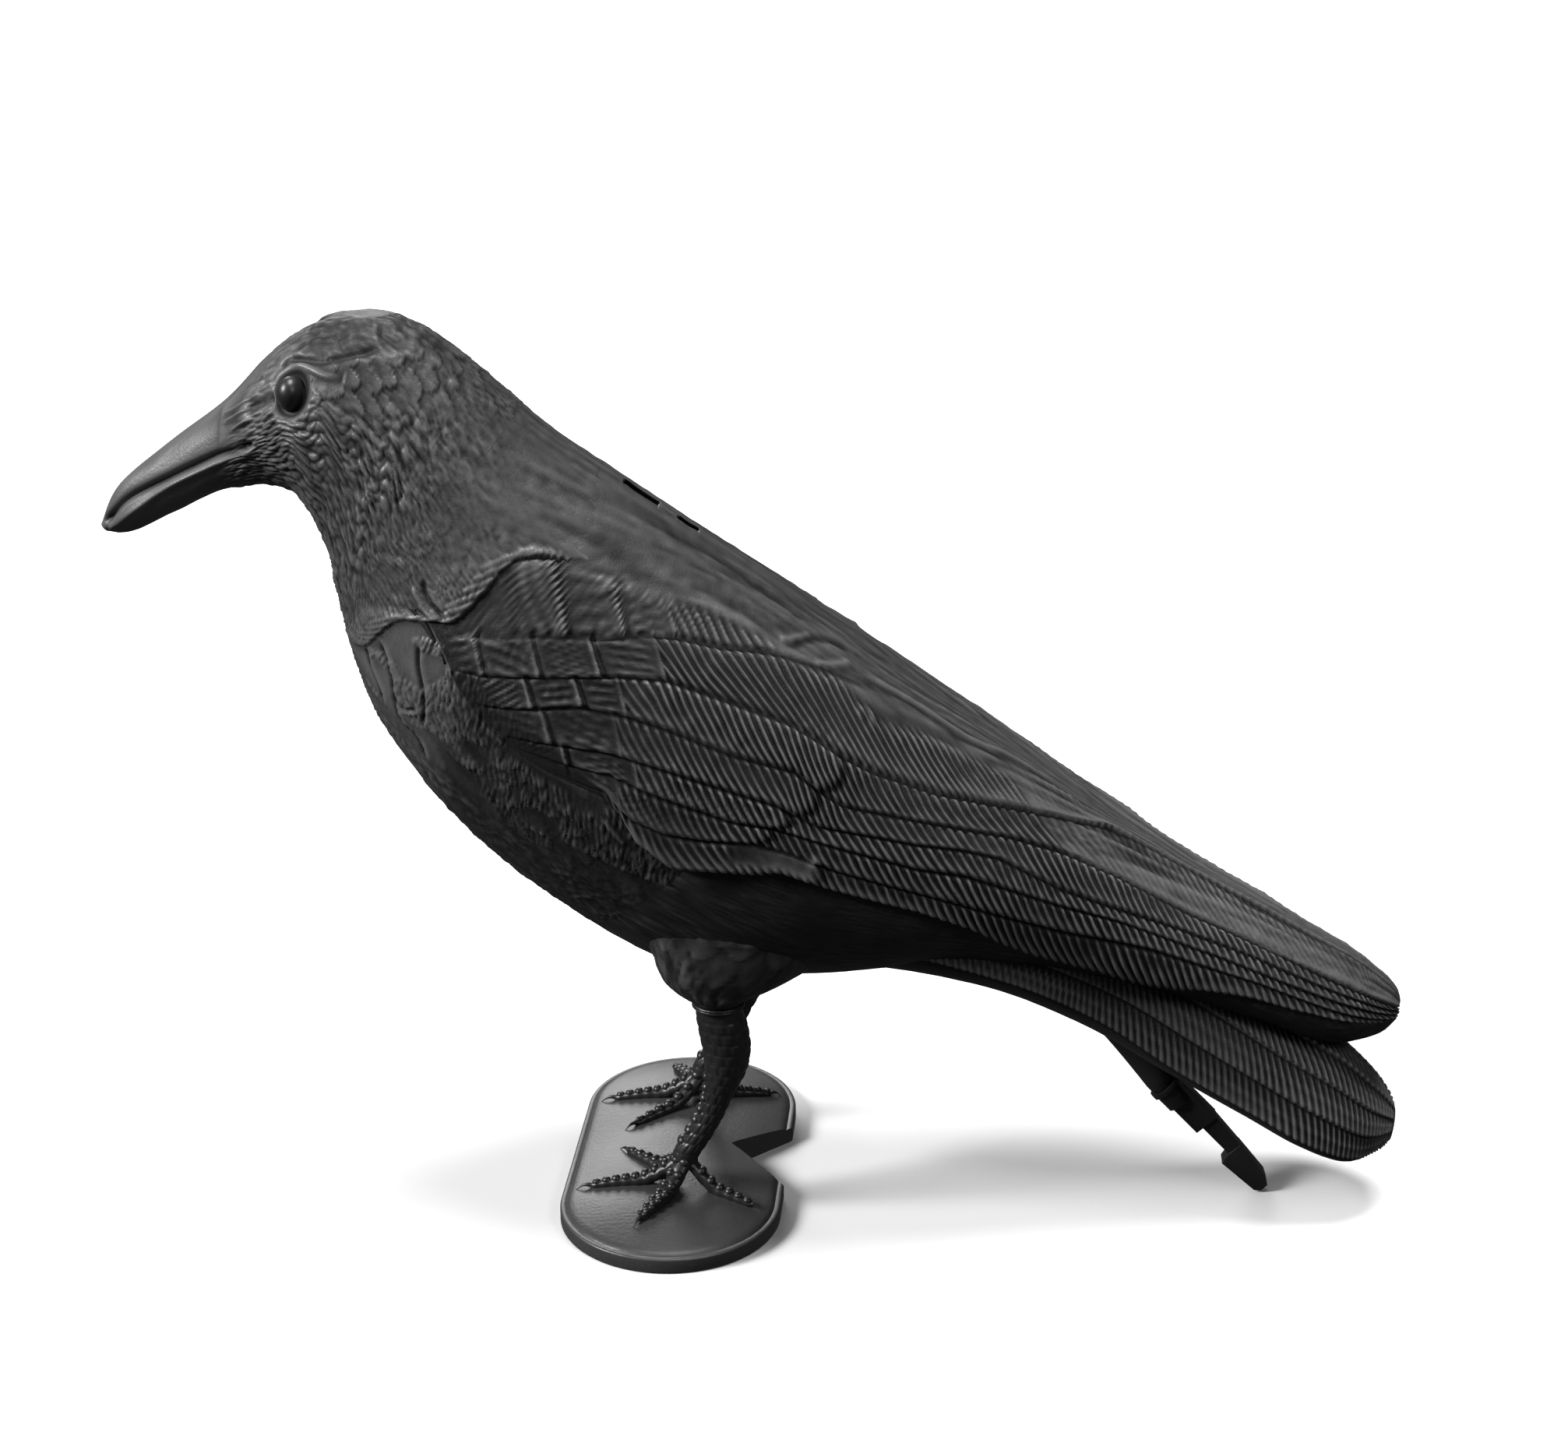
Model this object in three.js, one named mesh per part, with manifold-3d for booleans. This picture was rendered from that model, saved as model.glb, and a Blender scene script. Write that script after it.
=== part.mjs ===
// Crow decoy: a moulded black crow that stands on a small base of its own.
// Millimetres, +Z up. The bird faces -X and its right side is +Y.
// The origin is the middle of the base's underside.

import * as THREE from 'three';
import { mergeVertices } from 'three/addons/utils/BufferGeometryUtils.js';
import Module from 'manifold-3d';

const wasm = await Module();
wasm.setup();

// Driving sizes of the bird
const BIRD_LENGTH = 395;
const BELLY_HEIGHT = 74;
const FEATHER_STEP = 0.9;
const WING_RISE = 2.4;
const EYE_RADIUS = 5.2;
const GAPE_WIDTH = 1.5;
const GAPE_DEPTH = 1.6;
const SLIT_WIDTH = 1.6;
const SLIT_DEPTH = 5;

// Driving sizes of the legs, the feet and the base
const LEG_SPREAD = 56;
const LEG_RADIUS = 7.4;
const PLUG_RADIUS = 5.2;
const PLUG_LENGTH = 7;
const COLLAR_THICKNESS = 1.6;
const COLLAR_OVERHANG = 0.7;
const KNUCKLE_HEIGHT = 20;
const BEAD_PITCH = 3.8;
const TOE_RADIUS = 2.7;
const BASE_WIDTH = 69;
const BASE_LENGTH = 131;
const BASE_RIM = 5;
const BASE_CROWN = 10;
const NOTCH_DEPTH = 18.5;

// Driving sizes of the clip under the tail
const CLIP_FLANGE_RADIUS = 5.6;
const CLIP_FLANGE_THICKNESS = 2;
const CLIP_THICKNESS = 6;
const CLIP_REACH = 48;
const CLIP_PEG_RADIUS = 2.8;
const CLIP_PEG_LENGTH = 6;

// Clearance between a piece and what it plugs into
const FIT_GAP = 0.3;

// Facets
const WELD = 1e-4;
const TRUNK_RINGS = 33;
const BACK_STEPS = 3;
const WING_BANDS = 7;
const BELLY_STEPS = 5;
const ROUND_SIDES = 12;
const COLLAR_SIDES = 18;
const BASE_SIDES = 32;

const black = new THREE.MeshStandardMaterial({ color: 0x1b1b1d, roughness: 0.55, metalness: 0 });
const blackStand = new THREE.MeshStandardMaterial({ color: 0x202022, roughness: 0.5, metalness: 0 });
const blackClip = new THREE.MeshStandardMaterial({ color: 0x161617, roughness: 0.45, metalness: 0 });

// The hip is the point that the bird's proportions are measured from
const HIP = new THREE.Vector3(0, 0, BELLY_HEIGHT);

// A length given as a percentage of the bird's length
function part(percent) {
  return (percent / 100) * BIRD_LENGTH;
}

// A place in the bird's middle plane, as percentages behind and above the hip
function place(x, z) {
  return new THREE.Vector2(HIP.x + part(x), HIP.z + part(z));
}

// Joining and cutting

function solidOf(geometry) {
  const bare = geometry.clone();
  for (const name of Object.keys(bare.attributes)) {
    if (name !== 'position') bare.deleteAttribute(name);
  }
  const welded = mergeVertices(bare, WELD);
  const mesh = new wasm.Mesh({
    numProp: 3,
    vertProperties: new Float32Array(welded.attributes.position.array),
    triVerts: new Uint32Array(welded.index.array),
  });
  return new wasm.Manifold(mesh);
}

function geometryOf(solid) {
  const mesh = solid.getMesh();
  const geometry = new THREE.BufferGeometry();
  geometry.setAttribute('position', new THREE.BufferAttribute(mesh.vertProperties, mesh.numProp));
  geometry.setIndex(new THREE.BufferAttribute(mesh.triVerts, 1));
  geometry.computeVertexNormals();
  return geometry;
}

function joined(solids) {
  return solids.reduce((whole, next) => whole.add(next));
}

// A closed tube, shaped ring by ring: shape(side, ring, reach) gives each vertex its place.
// reach is 1 on the skin and 0 at the middle of the two end caps.
function loft(sides, rings, shape) {
  const tube = new THREE.CylinderGeometry(1, 1, 1, sides, rings);
  const points = tube.attributes.position;
  const point = new THREE.Vector3();
  for (let i = 0; i < points.count; i += 1) {
    point.fromBufferAttribute(points, i);
    const turn = Math.atan2(point.x, point.z) / (2 * Math.PI);
    const side = Math.round((turn + 1) * sides) % sides;
    const ring = Math.round((0.5 - point.y) * rings);
    const reach = Math.hypot(point.x, point.z) > 0.5 ? 1 : 0;
    const target = shape(side, ring, reach);
    points.setXYZ(i, target.x, target.y, target.z);
  }
  return solidOf(tube);
}

function placed(geometry, x, y, z) {
  geometry.translate(x, y, z);
  return geometry;
}

// Both sides of the bird get the same thing: make(-1) is its left, make(1) its right
function bothSides(make) {
  return joined([-1, 1].map(make));
}

// Trunk: head, neck, breast, back and folded wings

// Each station is a slice through the bird, from beak to wing tip. top and low are the
// slice's highest and lowest points, wide its half width, and waist the share of its
// height at which it is widest. edge is the share at which the wing's lower edge runs.
const TRUNK = [
  { top: [-43.7, 34.9], low: [-43.2, 34.3], wide: 0.3, waist: 0.5, edge: 0.3 },
  { top: [-41.9, 38.2], low: [-41.2, 34.4], wide: 1.3, waist: 0.45, edge: 0.3 },
  { top: [-37.3, 41.9], low: [-37.7, 36.1], wide: 2.1, waist: 0.45, edge: 0.3 },
  { top: [-33.4, 44.8], low: [-33.4, 38.1], wide: 3.0, waist: 0.45, edge: 0.3 },
  { top: [-29.9, 48.2], low: [-30.1, 38.6], wide: 4.6, waist: 0.45, edge: 0.3 },
  { top: [-26.8, 50.4], low: [-27.8, 37.7], wide: 5.9, waist: 0.48, edge: 0.3 },
  { top: [-22.9, 51.7], low: [-26.5, 35.5], wide: 6.8, waist: 0.5, edge: 0.3 },
  { top: [-18.3, 50.4], low: [-25.7, 33.0], wide: 7.5, waist: 0.5, edge: 0.28 },
  { top: [-13.6, 46.8], low: [-25.2, 29.5], wide: 8.8, waist: 0.48, edge: 0.26 },
  { top: [-8.6, 42.5], low: [-24.3, 25.2], wide: 10.4, waist: 0.46, edge: 0.22 },
  { top: [-2.5, 38.4], low: [-22.1, 19.7], wide: 12.3, waist: 0.45, edge: 0.22 },
  { top: [4.6, 33.6], low: [-17.0, 12.9], wide: 13.6, waist: 0.45, edge: 0.33 },
  { top: [12.2, 28.5], low: [-9.5, 6.3], wide: 14.0, waist: 0.46, edge: 0.38 },
  { top: [19.7, 23.1], low: [0.0, 0.8], wide: 13.3, waist: 0.5, edge: 0.47 },
  { top: [26.6, 18.3], low: [9.1, 0.4], wide: 11.6, waist: 0.52, edge: 0.5 },
  { top: [32.9, 13.6], low: [18.7, 1.6], wide: 9.6, waist: 0.5, edge: 0.48 },
  { top: [38.0, 10.2], low: [28.4, 1.4], wide: 7.8, waist: 0.44, edge: 0.42 },
  { top: [43.5, 7.0], low: [36.7, 0.0], wide: 6.5, waist: 0.4, edge: 0.38 },
  { top: [48.9, 4.2], low: [44.6, -2.5], wide: 5.3, waist: 0.4, edge: 0.38 },
  { top: [52.9, 2.1], low: [50.6, -4.6], wide: 4.2, waist: 0.4, edge: 0.38 },
  { top: [55.6, 0.0], low: [54.5, -4.2], wide: 2.6, waist: 0.42, edge: 0.38 },
  { top: [56.4, -1.5], low: [56.1, -3.0], wide: 1.2, waist: 0.45, edge: 0.38 },
];
const ROUNDNESS = 1.08;
const WING_TOP_SHARE = 0.93;
const WING_START = 8.5;
const WING_FULL = 12.5;
const WING_FADE = 19;

// Half the width of the step between two long feathers, as a share of a feather
const FEATHER_SPLIT = 0.04;

// The rows of small covert feathers end at these stations, each row over the next
const COVERT_EDGES = [9.4, 10.1, 10.8, 11.5];
const COVERT_STEP = 0.8;
const EDGE_SHARPNESS = 0.03;
const RING_ROOM = 0.15;

function curveThrough(stations, read) {
  return new THREE.SplineCurve(stations.map(read));
}

function sliceMaker(stations) {
  const top = curveThrough(stations, (s) => place(...s.top));
  const low = curveThrough(stations, (s) => place(...s.low));
  const size = curveThrough(stations, (s) => new THREE.Vector2(part(s.wide), s.waist));
  return (at) => {
    const t = at / (stations.length - 1);
    const { x: wide, y: waist } = size.getPoint(t);
    return { top: top.getPoint(t), low: low.getPoint(t), wide, waist };
  };
}

// A point of a slice's outline; angle is 0 at the top and pi at the bottom.
// rise pushes it outwards from the middle of the slice.
function onSlice(slice, angle, sign, rise = 0) {
  const up = Math.cos(angle);
  const across = Math.abs(Math.sin(angle)) ** ROUNDNESS;
  const lift = Math.sign(up) * Math.abs(up) ** ROUNDNESS;
  const middle = slice.low.clone().lerp(slice.top, slice.waist);
  const end = lift >= 0 ? slice.top : slice.low;
  const flat = middle.clone().lerp(end, Math.abs(lift));
  const point = new THREE.Vector3(flat.x, sign * across * slice.wide, flat.y);
  const centre = new THREE.Vector3(middle.x, 0, middle.y);
  const outward = point.clone().sub(centre).normalize();
  return point.addScaledVector(outward, rise);
}

// The angle at which a slice reaches a share of its height
function angleAt(slice, share) {
  const above = share >= slice.waist;
  const room = above ? 1 - slice.waist : slice.waist;
  const up = Math.abs(share - slice.waist) / room;
  const angle = Math.acos(Math.min(1, up) ** (1 / ROUNDNESS));
  return above ? angle : Math.PI - angle;
}

// The angle and the rise of each vertex down one side of a trunk slice:
// the back, then the wing's feathers as steps like roof tiles, then the belly
function trunkColumn(slice, edge, step, wing) {
  const upper = angleAt(slice, WING_TOP_SHARE);
  const lower = angleAt(slice, edge);
  if (step < BACK_STEPS) return { angle: (upper * step) / BACK_STEPS, rise: 0 };
  const inWing = step - BACK_STEPS;
  const band = Math.floor(inWing / 2);
  if (band < WING_BANDS) {
    const within = inWing % 2 === 0 ? FEATHER_SPLIT : 1 - FEATHER_SPLIT;
    const share = (band + within) / WING_BANDS;
    const body = WING_RISE * Math.min(1, 2 * share);
    const tile = FEATHER_STEP * within;
    return { angle: upper + (lower - upper) * share, rise: wing * (body + tile) };
  }
  const share = (inWing - 2 * WING_BANDS) / BELLY_STEPS;
  return { angle: lower + (Math.PI - lower) * share, rise: 0 };
}

// How far a row of coverts stands up, growing towards its free edge
function covertRise(at) {
  const starts = [WING_START, ...COVERT_EDGES];
  const row = COVERT_EDGES.findIndex((edge, i) => at >= starts[i] && at < edge);
  if (row < 0) return 0;
  return (COVERT_STEP * (at - starts[row])) / (COVERT_EDGES[row] - starts[row]);
}

// Even rings, and a close pair at the free edge of each row of coverts
function trunkRings() {
  const last = TRUNK.length - 1;
  const even = Array.from({ length: TRUNK_RINGS + 1 }, (_, i) => (i / TRUNK_RINGS) * last);
  const clear = even.filter((at) => COVERT_EDGES.every((edge) => Math.abs(at - edge) > RING_ROOM));
  const pairs = COVERT_EDGES.flatMap((edge) => [edge - EDGE_SHARPNESS, edge + EDGE_SHARPNESS]);
  return [...clear, ...pairs].sort((a, b) => a - b);
}

function makeTrunk() {
  const sliceAt = sliceMaker(TRUNK);
  const edges = curveThrough(TRUNK, (s) => new THREE.Vector2(s.edge, 0));
  const last = TRUNK.length - 1;
  const rings = trunkRings();
  const half = BACK_STEPS + 2 * WING_BANDS + BELLY_STEPS;
  const sides = 2 * half;
  return loft(sides, rings.length - 1, (side, ring, reach) => {
    const at = rings[ring];
    const slice = sliceAt(at);
    if (reach === 0) {
      const middle = slice.low.clone().lerp(slice.top, 0.5);
      return new THREE.Vector3(middle.x, 0, middle.y);
    }
    const step = side <= half ? side : sides - side;
    const sign = side <= half ? 1 : -1;
    const start = THREE.MathUtils.smoothstep(at, WING_START, WING_FULL);
    const fade = 1 - THREE.MathUtils.smoothstep(at, WING_FADE, last);
    const edge = edges.getPoint(at / last).x;
    const { angle, rise } = trunkColumn(slice, edge, step, start * fade);
    const inWing = step >= BACK_STEPS && step < half - BELLY_STEPS;
    return onSlice(slice, angle, sign, rise + (inWing ? covertRise(at) : 0));
  });
}

// Tail: a folded fan under the wing tips, with a roof-shaped top and a flat underside
const TAIL = [
  { top: [13.0, 12.0], low: [3.0, 1.5], wide: 7.5, waist: 0.4 },
  { top: [24.0, 10.0], low: [13.5, 1.8], wide: 8.4, waist: 0.4 },
  { top: [33.0, 6.0], low: [23.0, 0.4], wide: 7.4, waist: 0.35 },
  { top: [38.0, 3.4], low: [31.2, -3.0], wide: 6.0, waist: 0.28 },
  { top: [43.3, 0.4], low: [38.0, -6.8], wide: 5.6, waist: 0.2 },
  { top: [48.2, -3.0], low: [43.9, -10.2], wide: 5.5, waist: 0.2 },
  { top: [52.2, -5.4], low: [49.0, -13.1], wide: 5.5, waist: 0.2 },
  { top: [55.2, -8.3], low: [52.9, -14.6], wide: 4.5, waist: 0.25 },
  { top: [56.9, -10.9], low: [56.3, -13.6], wide: 1.8, waist: 0.35 },
];
const TAIL_RINGS = 15;
const TAIL_BANDS = 4;
const TAIL_BELLY_STEPS = 4;
const TAIL_STEP = 0.8;
const TAIL_FEATHER_SHARE = 0.9;

function makeTail() {
  const sliceAt = sliceMaker(TAIL);
  const half = 2 * TAIL_BANDS + TAIL_BELLY_STEPS;
  const sides = 2 * half;
  return loft(sides, TAIL_RINGS, (side, ring, reach) => {
    const slice = sliceAt((ring / TAIL_RINGS) * (TAIL.length - 1));
    if (reach === 0) {
      const middle = slice.low.clone().lerp(slice.top, 0.5);
      return new THREE.Vector3(middle.x, 0, middle.y);
    }
    const step = side <= half ? side : sides - side;
    const sign = side <= half ? 1 : -1;
    const band = Math.floor(step / 2);
    if (band >= TAIL_BANDS) {
      const share = (step - 2 * TAIL_BANDS) / TAIL_BELLY_STEPS;
      return onSlice(slice, (Math.PI / 2) * (1 + share), sign);
    }
    const within = step % 2 === 0 ? 0 : TAIL_FEATHER_SHARE;
    const share = (band + within) / TAIL_BANDS;
    return onSlice(slice, (Math.PI / 2) * share, sign, TAIL_STEP * within);
  });
}

// Thighs, with the short socks that the legs plug into
const LEG_X = 15.2;
const THIGH_CENTRE = [5.3, 9.0];
const THIGH_RADII = [7.6, 4.6, 8.7];
const SOCK_HEIGHT = 10;
const SOCK_SPREAD = 4;
const SOCK_RIM = LEG_RADIUS + COLLAR_OVERHANG;

function makeThigh(sign) {
  const centre = place(...THIGH_CENTRE);
  const ball = new THREE.SphereGeometry(1, 14, 8);
  ball.scale(...THIGH_RADII.map(part));
  const thigh = solidOf(placed(ball, centre.x, (sign * LEG_SPREAD) / 2, centre.y));
  const sock = new THREE.CylinderGeometry(SOCK_RIM + SOCK_SPREAD, SOCK_RIM, SOCK_HEIGHT, COLLAR_SIDES);
  sock.rotateX(Math.PI / 2);
  const height = BELLY_HEIGHT + FIT_GAP + SOCK_HEIGHT / 2;
  return thigh.add(solidOf(placed(sock, LEG_X, (sign * LEG_SPREAD) / 2, height)));
}

function makeLegSocket(sign) {
  const depth = PLUG_LENGTH + 2 * FIT_GAP;
  const radius = PLUG_RADIUS + FIT_GAP;
  const hole = new THREE.CylinderGeometry(radius, radius, 2 * depth, ROUND_SIDES);
  hole.rotateX(Math.PI / 2);
  return solidOf(placed(hole, LEG_X, (sign * LEG_SPREAD) / 2, BELLY_HEIGHT));
}

// The line between the two halves of the beak, cut as a groove on both sides.
// The beak is this wide, to each side, at the two ends of the line.
const GAPE_TIP = [-43.9, 34.8];
const GAPE_CORNER = [-30.6, 41.6];
const GAPE_TIP_HALF = 0.4;
const GAPE_CORNER_HALF = 2.9;

function slopeBetween(start, end) {
  return Math.atan2(end.y - start.y, end.x - start.x);
}

// Eyes, each a ball in a raised lid that lies on the side of the head
const EYE = [-27.2, 47.0];
const EYE_OUT = 4.05;
const EYE_FACING = new THREE.Vector3(-0.34, 0.82, 0.46).normalize();
const LID_WIDTH = 1.4;
const LID_BACK = 5;
const LID_SEAT = 0.4;

function makeEye(sign) {
  const middle = place(...EYE);
  const centre = new THREE.Vector3(middle.x, sign * part(EYE_OUT), middle.y);
  const ball = placed(new THREE.SphereGeometry(EYE_RADIUS, 11, 7), centre.x, centre.y, centre.z);
  const facing = EYE_FACING.clone().multiply(new THREE.Vector3(1, sign, 1));
  const ahead = new THREE.Vector3(0, 0, 1).cross(facing).normalize();
  const above = facing.clone().cross(ahead);
  const seat = centre.clone().addScaledVector(facing, LID_SEAT * EYE_RADIUS);
  const profile = [
    [EYE_RADIUS + LID_WIDTH, -LID_BACK],
    [EYE_RADIUS + LID_WIDTH, 0],
    [EYE_RADIUS, LID_WIDTH],
    [EYE_RADIUS - LID_WIDTH, 0],
  ];
  const lid = loft(ROUND_SIDES, profile.length - 1, (side, ring, reach) => {
    const [radius, out] = profile[ring];
    const turn = (side / ROUND_SIDES) * 2 * Math.PI;
    const point = seat.clone().addScaledVector(facing, out);
    point.addScaledVector(ahead, reach * radius * Math.sin(turn));
    return point.addScaledVector(above, reach * radius * Math.cos(turn));
  });
  return solidOf(ball).add(lid);
}

// The patch of stiff bristles over each nostril, at the root of the beak
const BRISTLES = [-32.2, 42.8];
const BRISTLES_OUT = 2.75;
const BRISTLE_RADII = [1.7, 0.75, 0.8];

function makeBristles(sign) {
  const centre = place(...BRISTLES);
  const patch = new THREE.SphereGeometry(1, 8, 5);
  patch.scale(...BRISTLE_RADII.map(part));
  patch.rotateY(-slopeBetween(place(...GAPE_TIP), place(...GAPE_CORNER)));
  return solidOf(placed(patch, centre.x, sign * part(BRISTLES_OUT), centre.y));
}

function makeGape(sign) {
  const tip = place(...GAPE_TIP);
  const corner = place(...GAPE_CORNER);
  const length = tip.distanceTo(corner);
  const reach = part(GAPE_CORNER_HALF);
  const blade = new THREE.BoxGeometry(length, 2 * reach, GAPE_WIDTH);
  const flare = Math.atan2(part(GAPE_CORNER_HALF - GAPE_TIP_HALF), length);
  blade.translate(0, sign * reach, 0);
  blade.rotateZ(sign * flare);
  blade.rotateY(-slopeBetween(tip, corner));
  const middle = tip.clone().lerp(corner, 0.5);
  const skin = part((GAPE_TIP_HALF + GAPE_CORNER_HALF) / 2);
  return solidOf(placed(blade, middle.x, sign * (skin - GAPE_DEPTH), middle.y));
}

// Two slits in the ridge of the back, for a hanging cord, between these stations
const SLITS = [
  { from: 9.82, to: 10.22 },
  { from: 10.42, to: 10.62 },
];

function makeSlit({ from, to }) {
  const sliceAt = sliceMaker(TRUNK);
  const start = sliceAt(from).top;
  const end = sliceAt(to).top;
  const slot = new THREE.BoxGeometry(start.distanceTo(end), SLIT_WIDTH, 2 * SLIT_DEPTH);
  slot.rotateY(-slopeBetween(start, end));
  const middle = start.clone().lerp(end, 0.5);
  return solidOf(placed(slot, middle.x, 0, middle.y));
}

// Clip: everything on it is measured along its own axis, which points down and back.
// The seat is where its flange meets the boss under the tail. Its neck, arm and hook
// are flat, and front and back are how far each reaches to either side of the axis.
const CLIP_SEAT = [38.6, -9.5];
const CLIP_SLOPE = -0.8;
const CLIP_BLOCK = 6;
const CLIP_NECK_END = 0.4 * CLIP_REACH;
const CLIP_ARM_END = 0.68 * CLIP_REACH;
const NECK_BACK = -3.1;
const NECK_FRONT = 4.9;
const ARM_BACK = -0.8;
const ARM_FRONT = 3.8;
const HOOK_BACK = -4.4;
const HOOK_TIP_BACK = -3.2;
const HOOK_TIP_FRONT = 2.6;
const HOOK_ROUNDING = 1.5;
const CLIP_STEP = 0.7;
const OVERLAP = 1;

// Boss: the lump under the tail that the clip plugs into
const BOSS_ROOT = [34.2, -1.6];
const BOSS_ROOT_RADIUS = 3;
const BOSS_RINGS = 3;
const BOSS_SWELL = 0.7;

function alongClip(geometry) {
  const seat = place(...CLIP_SEAT);
  geometry.rotateY(-CLIP_SLOPE);
  return placed(geometry, seat.x, 0, seat.y);
}

// A round part of the clip, from start to end along its axis
function clipRound(start, end, radiusStart, radiusEnd) {
  const round = new THREE.CylinderGeometry(radiusEnd, radiusStart, end - start, ROUND_SIDES);
  round.translate(0, (start + end) / 2, 0);
  round.rotateZ(-Math.PI / 2);
  return solidOf(alongClip(round));
}

// A flat part of the clip, cut from its side view
function clipFlat(outline, thickness) {
  const shape = new THREE.Shape(outline.map(([along, up]) => new THREE.Vector2(along, up)));
  const plate = new THREE.ExtrudeGeometry(shape, { depth: thickness, bevelEnabled: false });
  plate.translate(0, 0, -thickness / 2);
  plate.rotateX(Math.PI / 2);
  return solidOf(alongClip(plate));
}

function makeClip() {
  const blockEnd = CLIP_FLANGE_THICKNESS + CLIP_BLOCK;
  const narrow = CLIP_FLANGE_RADIUS - CLIP_STEP;
  const peg = clipRound(-CLIP_PEG_LENGTH, OVERLAP, CLIP_PEG_RADIUS, CLIP_PEG_RADIUS);
  const flange = clipRound(FIT_GAP, CLIP_FLANGE_THICKNESS, CLIP_FLANGE_RADIUS, CLIP_FLANGE_RADIUS);
  const block = clipRound(OVERLAP, blockEnd, narrow, narrow);
  const neck = clipFlat(
    [[OVERLAP, NECK_BACK], [CLIP_NECK_END, NECK_BACK], [CLIP_NECK_END, NECK_FRONT], [OVERLAP, NECK_FRONT]],
    CLIP_THICKNESS,
  );
  const arm = clipFlat(
    [
      [CLIP_NECK_END - OVERLAP, ARM_BACK], [CLIP_ARM_END, ARM_BACK],
      [CLIP_ARM_END, ARM_FRONT], [CLIP_NECK_END - OVERLAP, NECK_FRONT],
    ],
    CLIP_THICKNESS - 2 * CLIP_STEP,
  );
  const hook = clipFlat(
    [
      [CLIP_ARM_END - OVERLAP, ARM_BACK], [CLIP_ARM_END, HOOK_BACK],
      [CLIP_REACH - HOOK_ROUNDING, HOOK_TIP_BACK], [CLIP_REACH, HOOK_TIP_BACK + HOOK_ROUNDING],
      [CLIP_REACH, HOOK_TIP_FRONT - HOOK_ROUNDING], [CLIP_REACH - 2 * HOOK_ROUNDING, HOOK_TIP_FRONT],
      [CLIP_ARM_END - OVERLAP, ARM_FRONT],
    ],
    CLIP_THICKNESS,
  );
  return joined([peg, flange, block, neck, arm, hook]);
}

function makeBoss() {
  const seat = place(...CLIP_SEAT);
  const root = place(...BOSS_ROOT);
  const faceRadius = CLIP_FLANGE_RADIUS - CLIP_STEP;
  const across = new THREE.Vector2(-Math.sin(CLIP_SLOPE), Math.cos(CLIP_SLOPE));
  return loft(ROUND_SIDES, BOSS_RINGS, (side, ring, reach) => {
    const share = ring / BOSS_RINGS;
    const middle = root.clone().lerp(seat, share);
    const radius = THREE.MathUtils.lerp(part(BOSS_ROOT_RADIUS), faceRadius, share ** BOSS_SWELL);
    const turn = (side / ROUND_SIDES) * 2 * Math.PI;
    middle.addScaledVector(across, reach * radius * Math.cos(turn));
    return new THREE.Vector3(middle.x, reach * radius * Math.sin(turn), middle.y);
  });
}

function makePegSocket() {
  const radius = CLIP_PEG_RADIUS + FIT_GAP;
  return clipRound(-CLIP_PEG_LENGTH - FIT_GAP, OVERLAP, radius, radius);
}

// Base: a stadium with a thin rim, a crowned top and a notch in its rear edge
const BASE_RADIUS = BASE_WIDTH / 2;
const BASE_STRAIGHT = BASE_LENGTH / 2 - BASE_RADIUS;
const RIM_BEVEL = 0.7;
const CROWN_SHARES = [0.9, 0.68, 0.4];

function stadiumPoint(turn, radius, z) {
  const across = Math.sin(turn);
  return new THREE.Vector3(radius * Math.cos(turn), radius * across + Math.sign(across) * BASE_STRAIGHT, z);
}

// Height of the base's top at a place on it
function baseTop(x, y) {
  const away = Math.hypot(x, Math.max(0, Math.abs(y) - BASE_STRAIGHT));
  const share = Math.min(1, away / BASE_RADIUS);
  return BASE_RIM + (BASE_CROWN - BASE_RIM) * (1 - share ** 2);
}

function makeBase() {
  const profile = [
    [BASE_RADIUS - RIM_BEVEL, 0],
    [BASE_RADIUS, RIM_BEVEL],
    [BASE_RADIUS, BASE_RIM - RIM_BEVEL],
    [BASE_RADIUS - RIM_BEVEL, BASE_RIM],
    ...CROWN_SHARES.map((share) => [BASE_RADIUS * share, baseTop(BASE_RADIUS * share, 0)]),
  ];
  const slab = loft(BASE_SIDES, profile.length - 1, (side, ring, reach) => {
    const [radius, z] = profile[ring];
    if (reach === 0) return new THREE.Vector3(0, 0, z);
    return stadiumPoint(-((side + 0.5) / BASE_SIDES) * 2 * Math.PI, radius, z);
  });
  const apex = BASE_RADIUS - NOTCH_DEPTH;
  const side = 2 * NOTCH_DEPTH;
  const wedge = new THREE.Shape([
    new THREE.Vector2(apex, 0),
    new THREE.Vector2(apex + side, -side),
    new THREE.Vector2(apex + side, side),
  ]);
  const cut = new THREE.ExtrudeGeometry(wedge, { depth: 3 * BASE_CROWN, bevelEnabled: false });
  return slab.subtract(solidOf(placed(cut, 0, 0, -BASE_CROWN)));
}

// Legs: equal steps from the knuckle up to the collar. back is behind the plug's axis,
// and radius is a share of the radius at the top.
const LEG = [
  { back: -10.6, radius: 0.58 },
  { back: -6.4, radius: 0.54 },
  { back: -2.6, radius: 0.53 },
  { back: 0, radius: 0.6 },
  { back: 2.0, radius: 0.82 },
  { back: 2.4, radius: 0.97 },
  { back: 1.4, radius: 1.0 },
  { back: 0, radius: 0.96 },
];
const LEG_RINGS = 10;
const LEG_FLATNESS = 0.9;
const SHANK_BEADS = 7;
const BEADS_START = 0.1;
const BEAD_SINK = 0.85;

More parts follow.
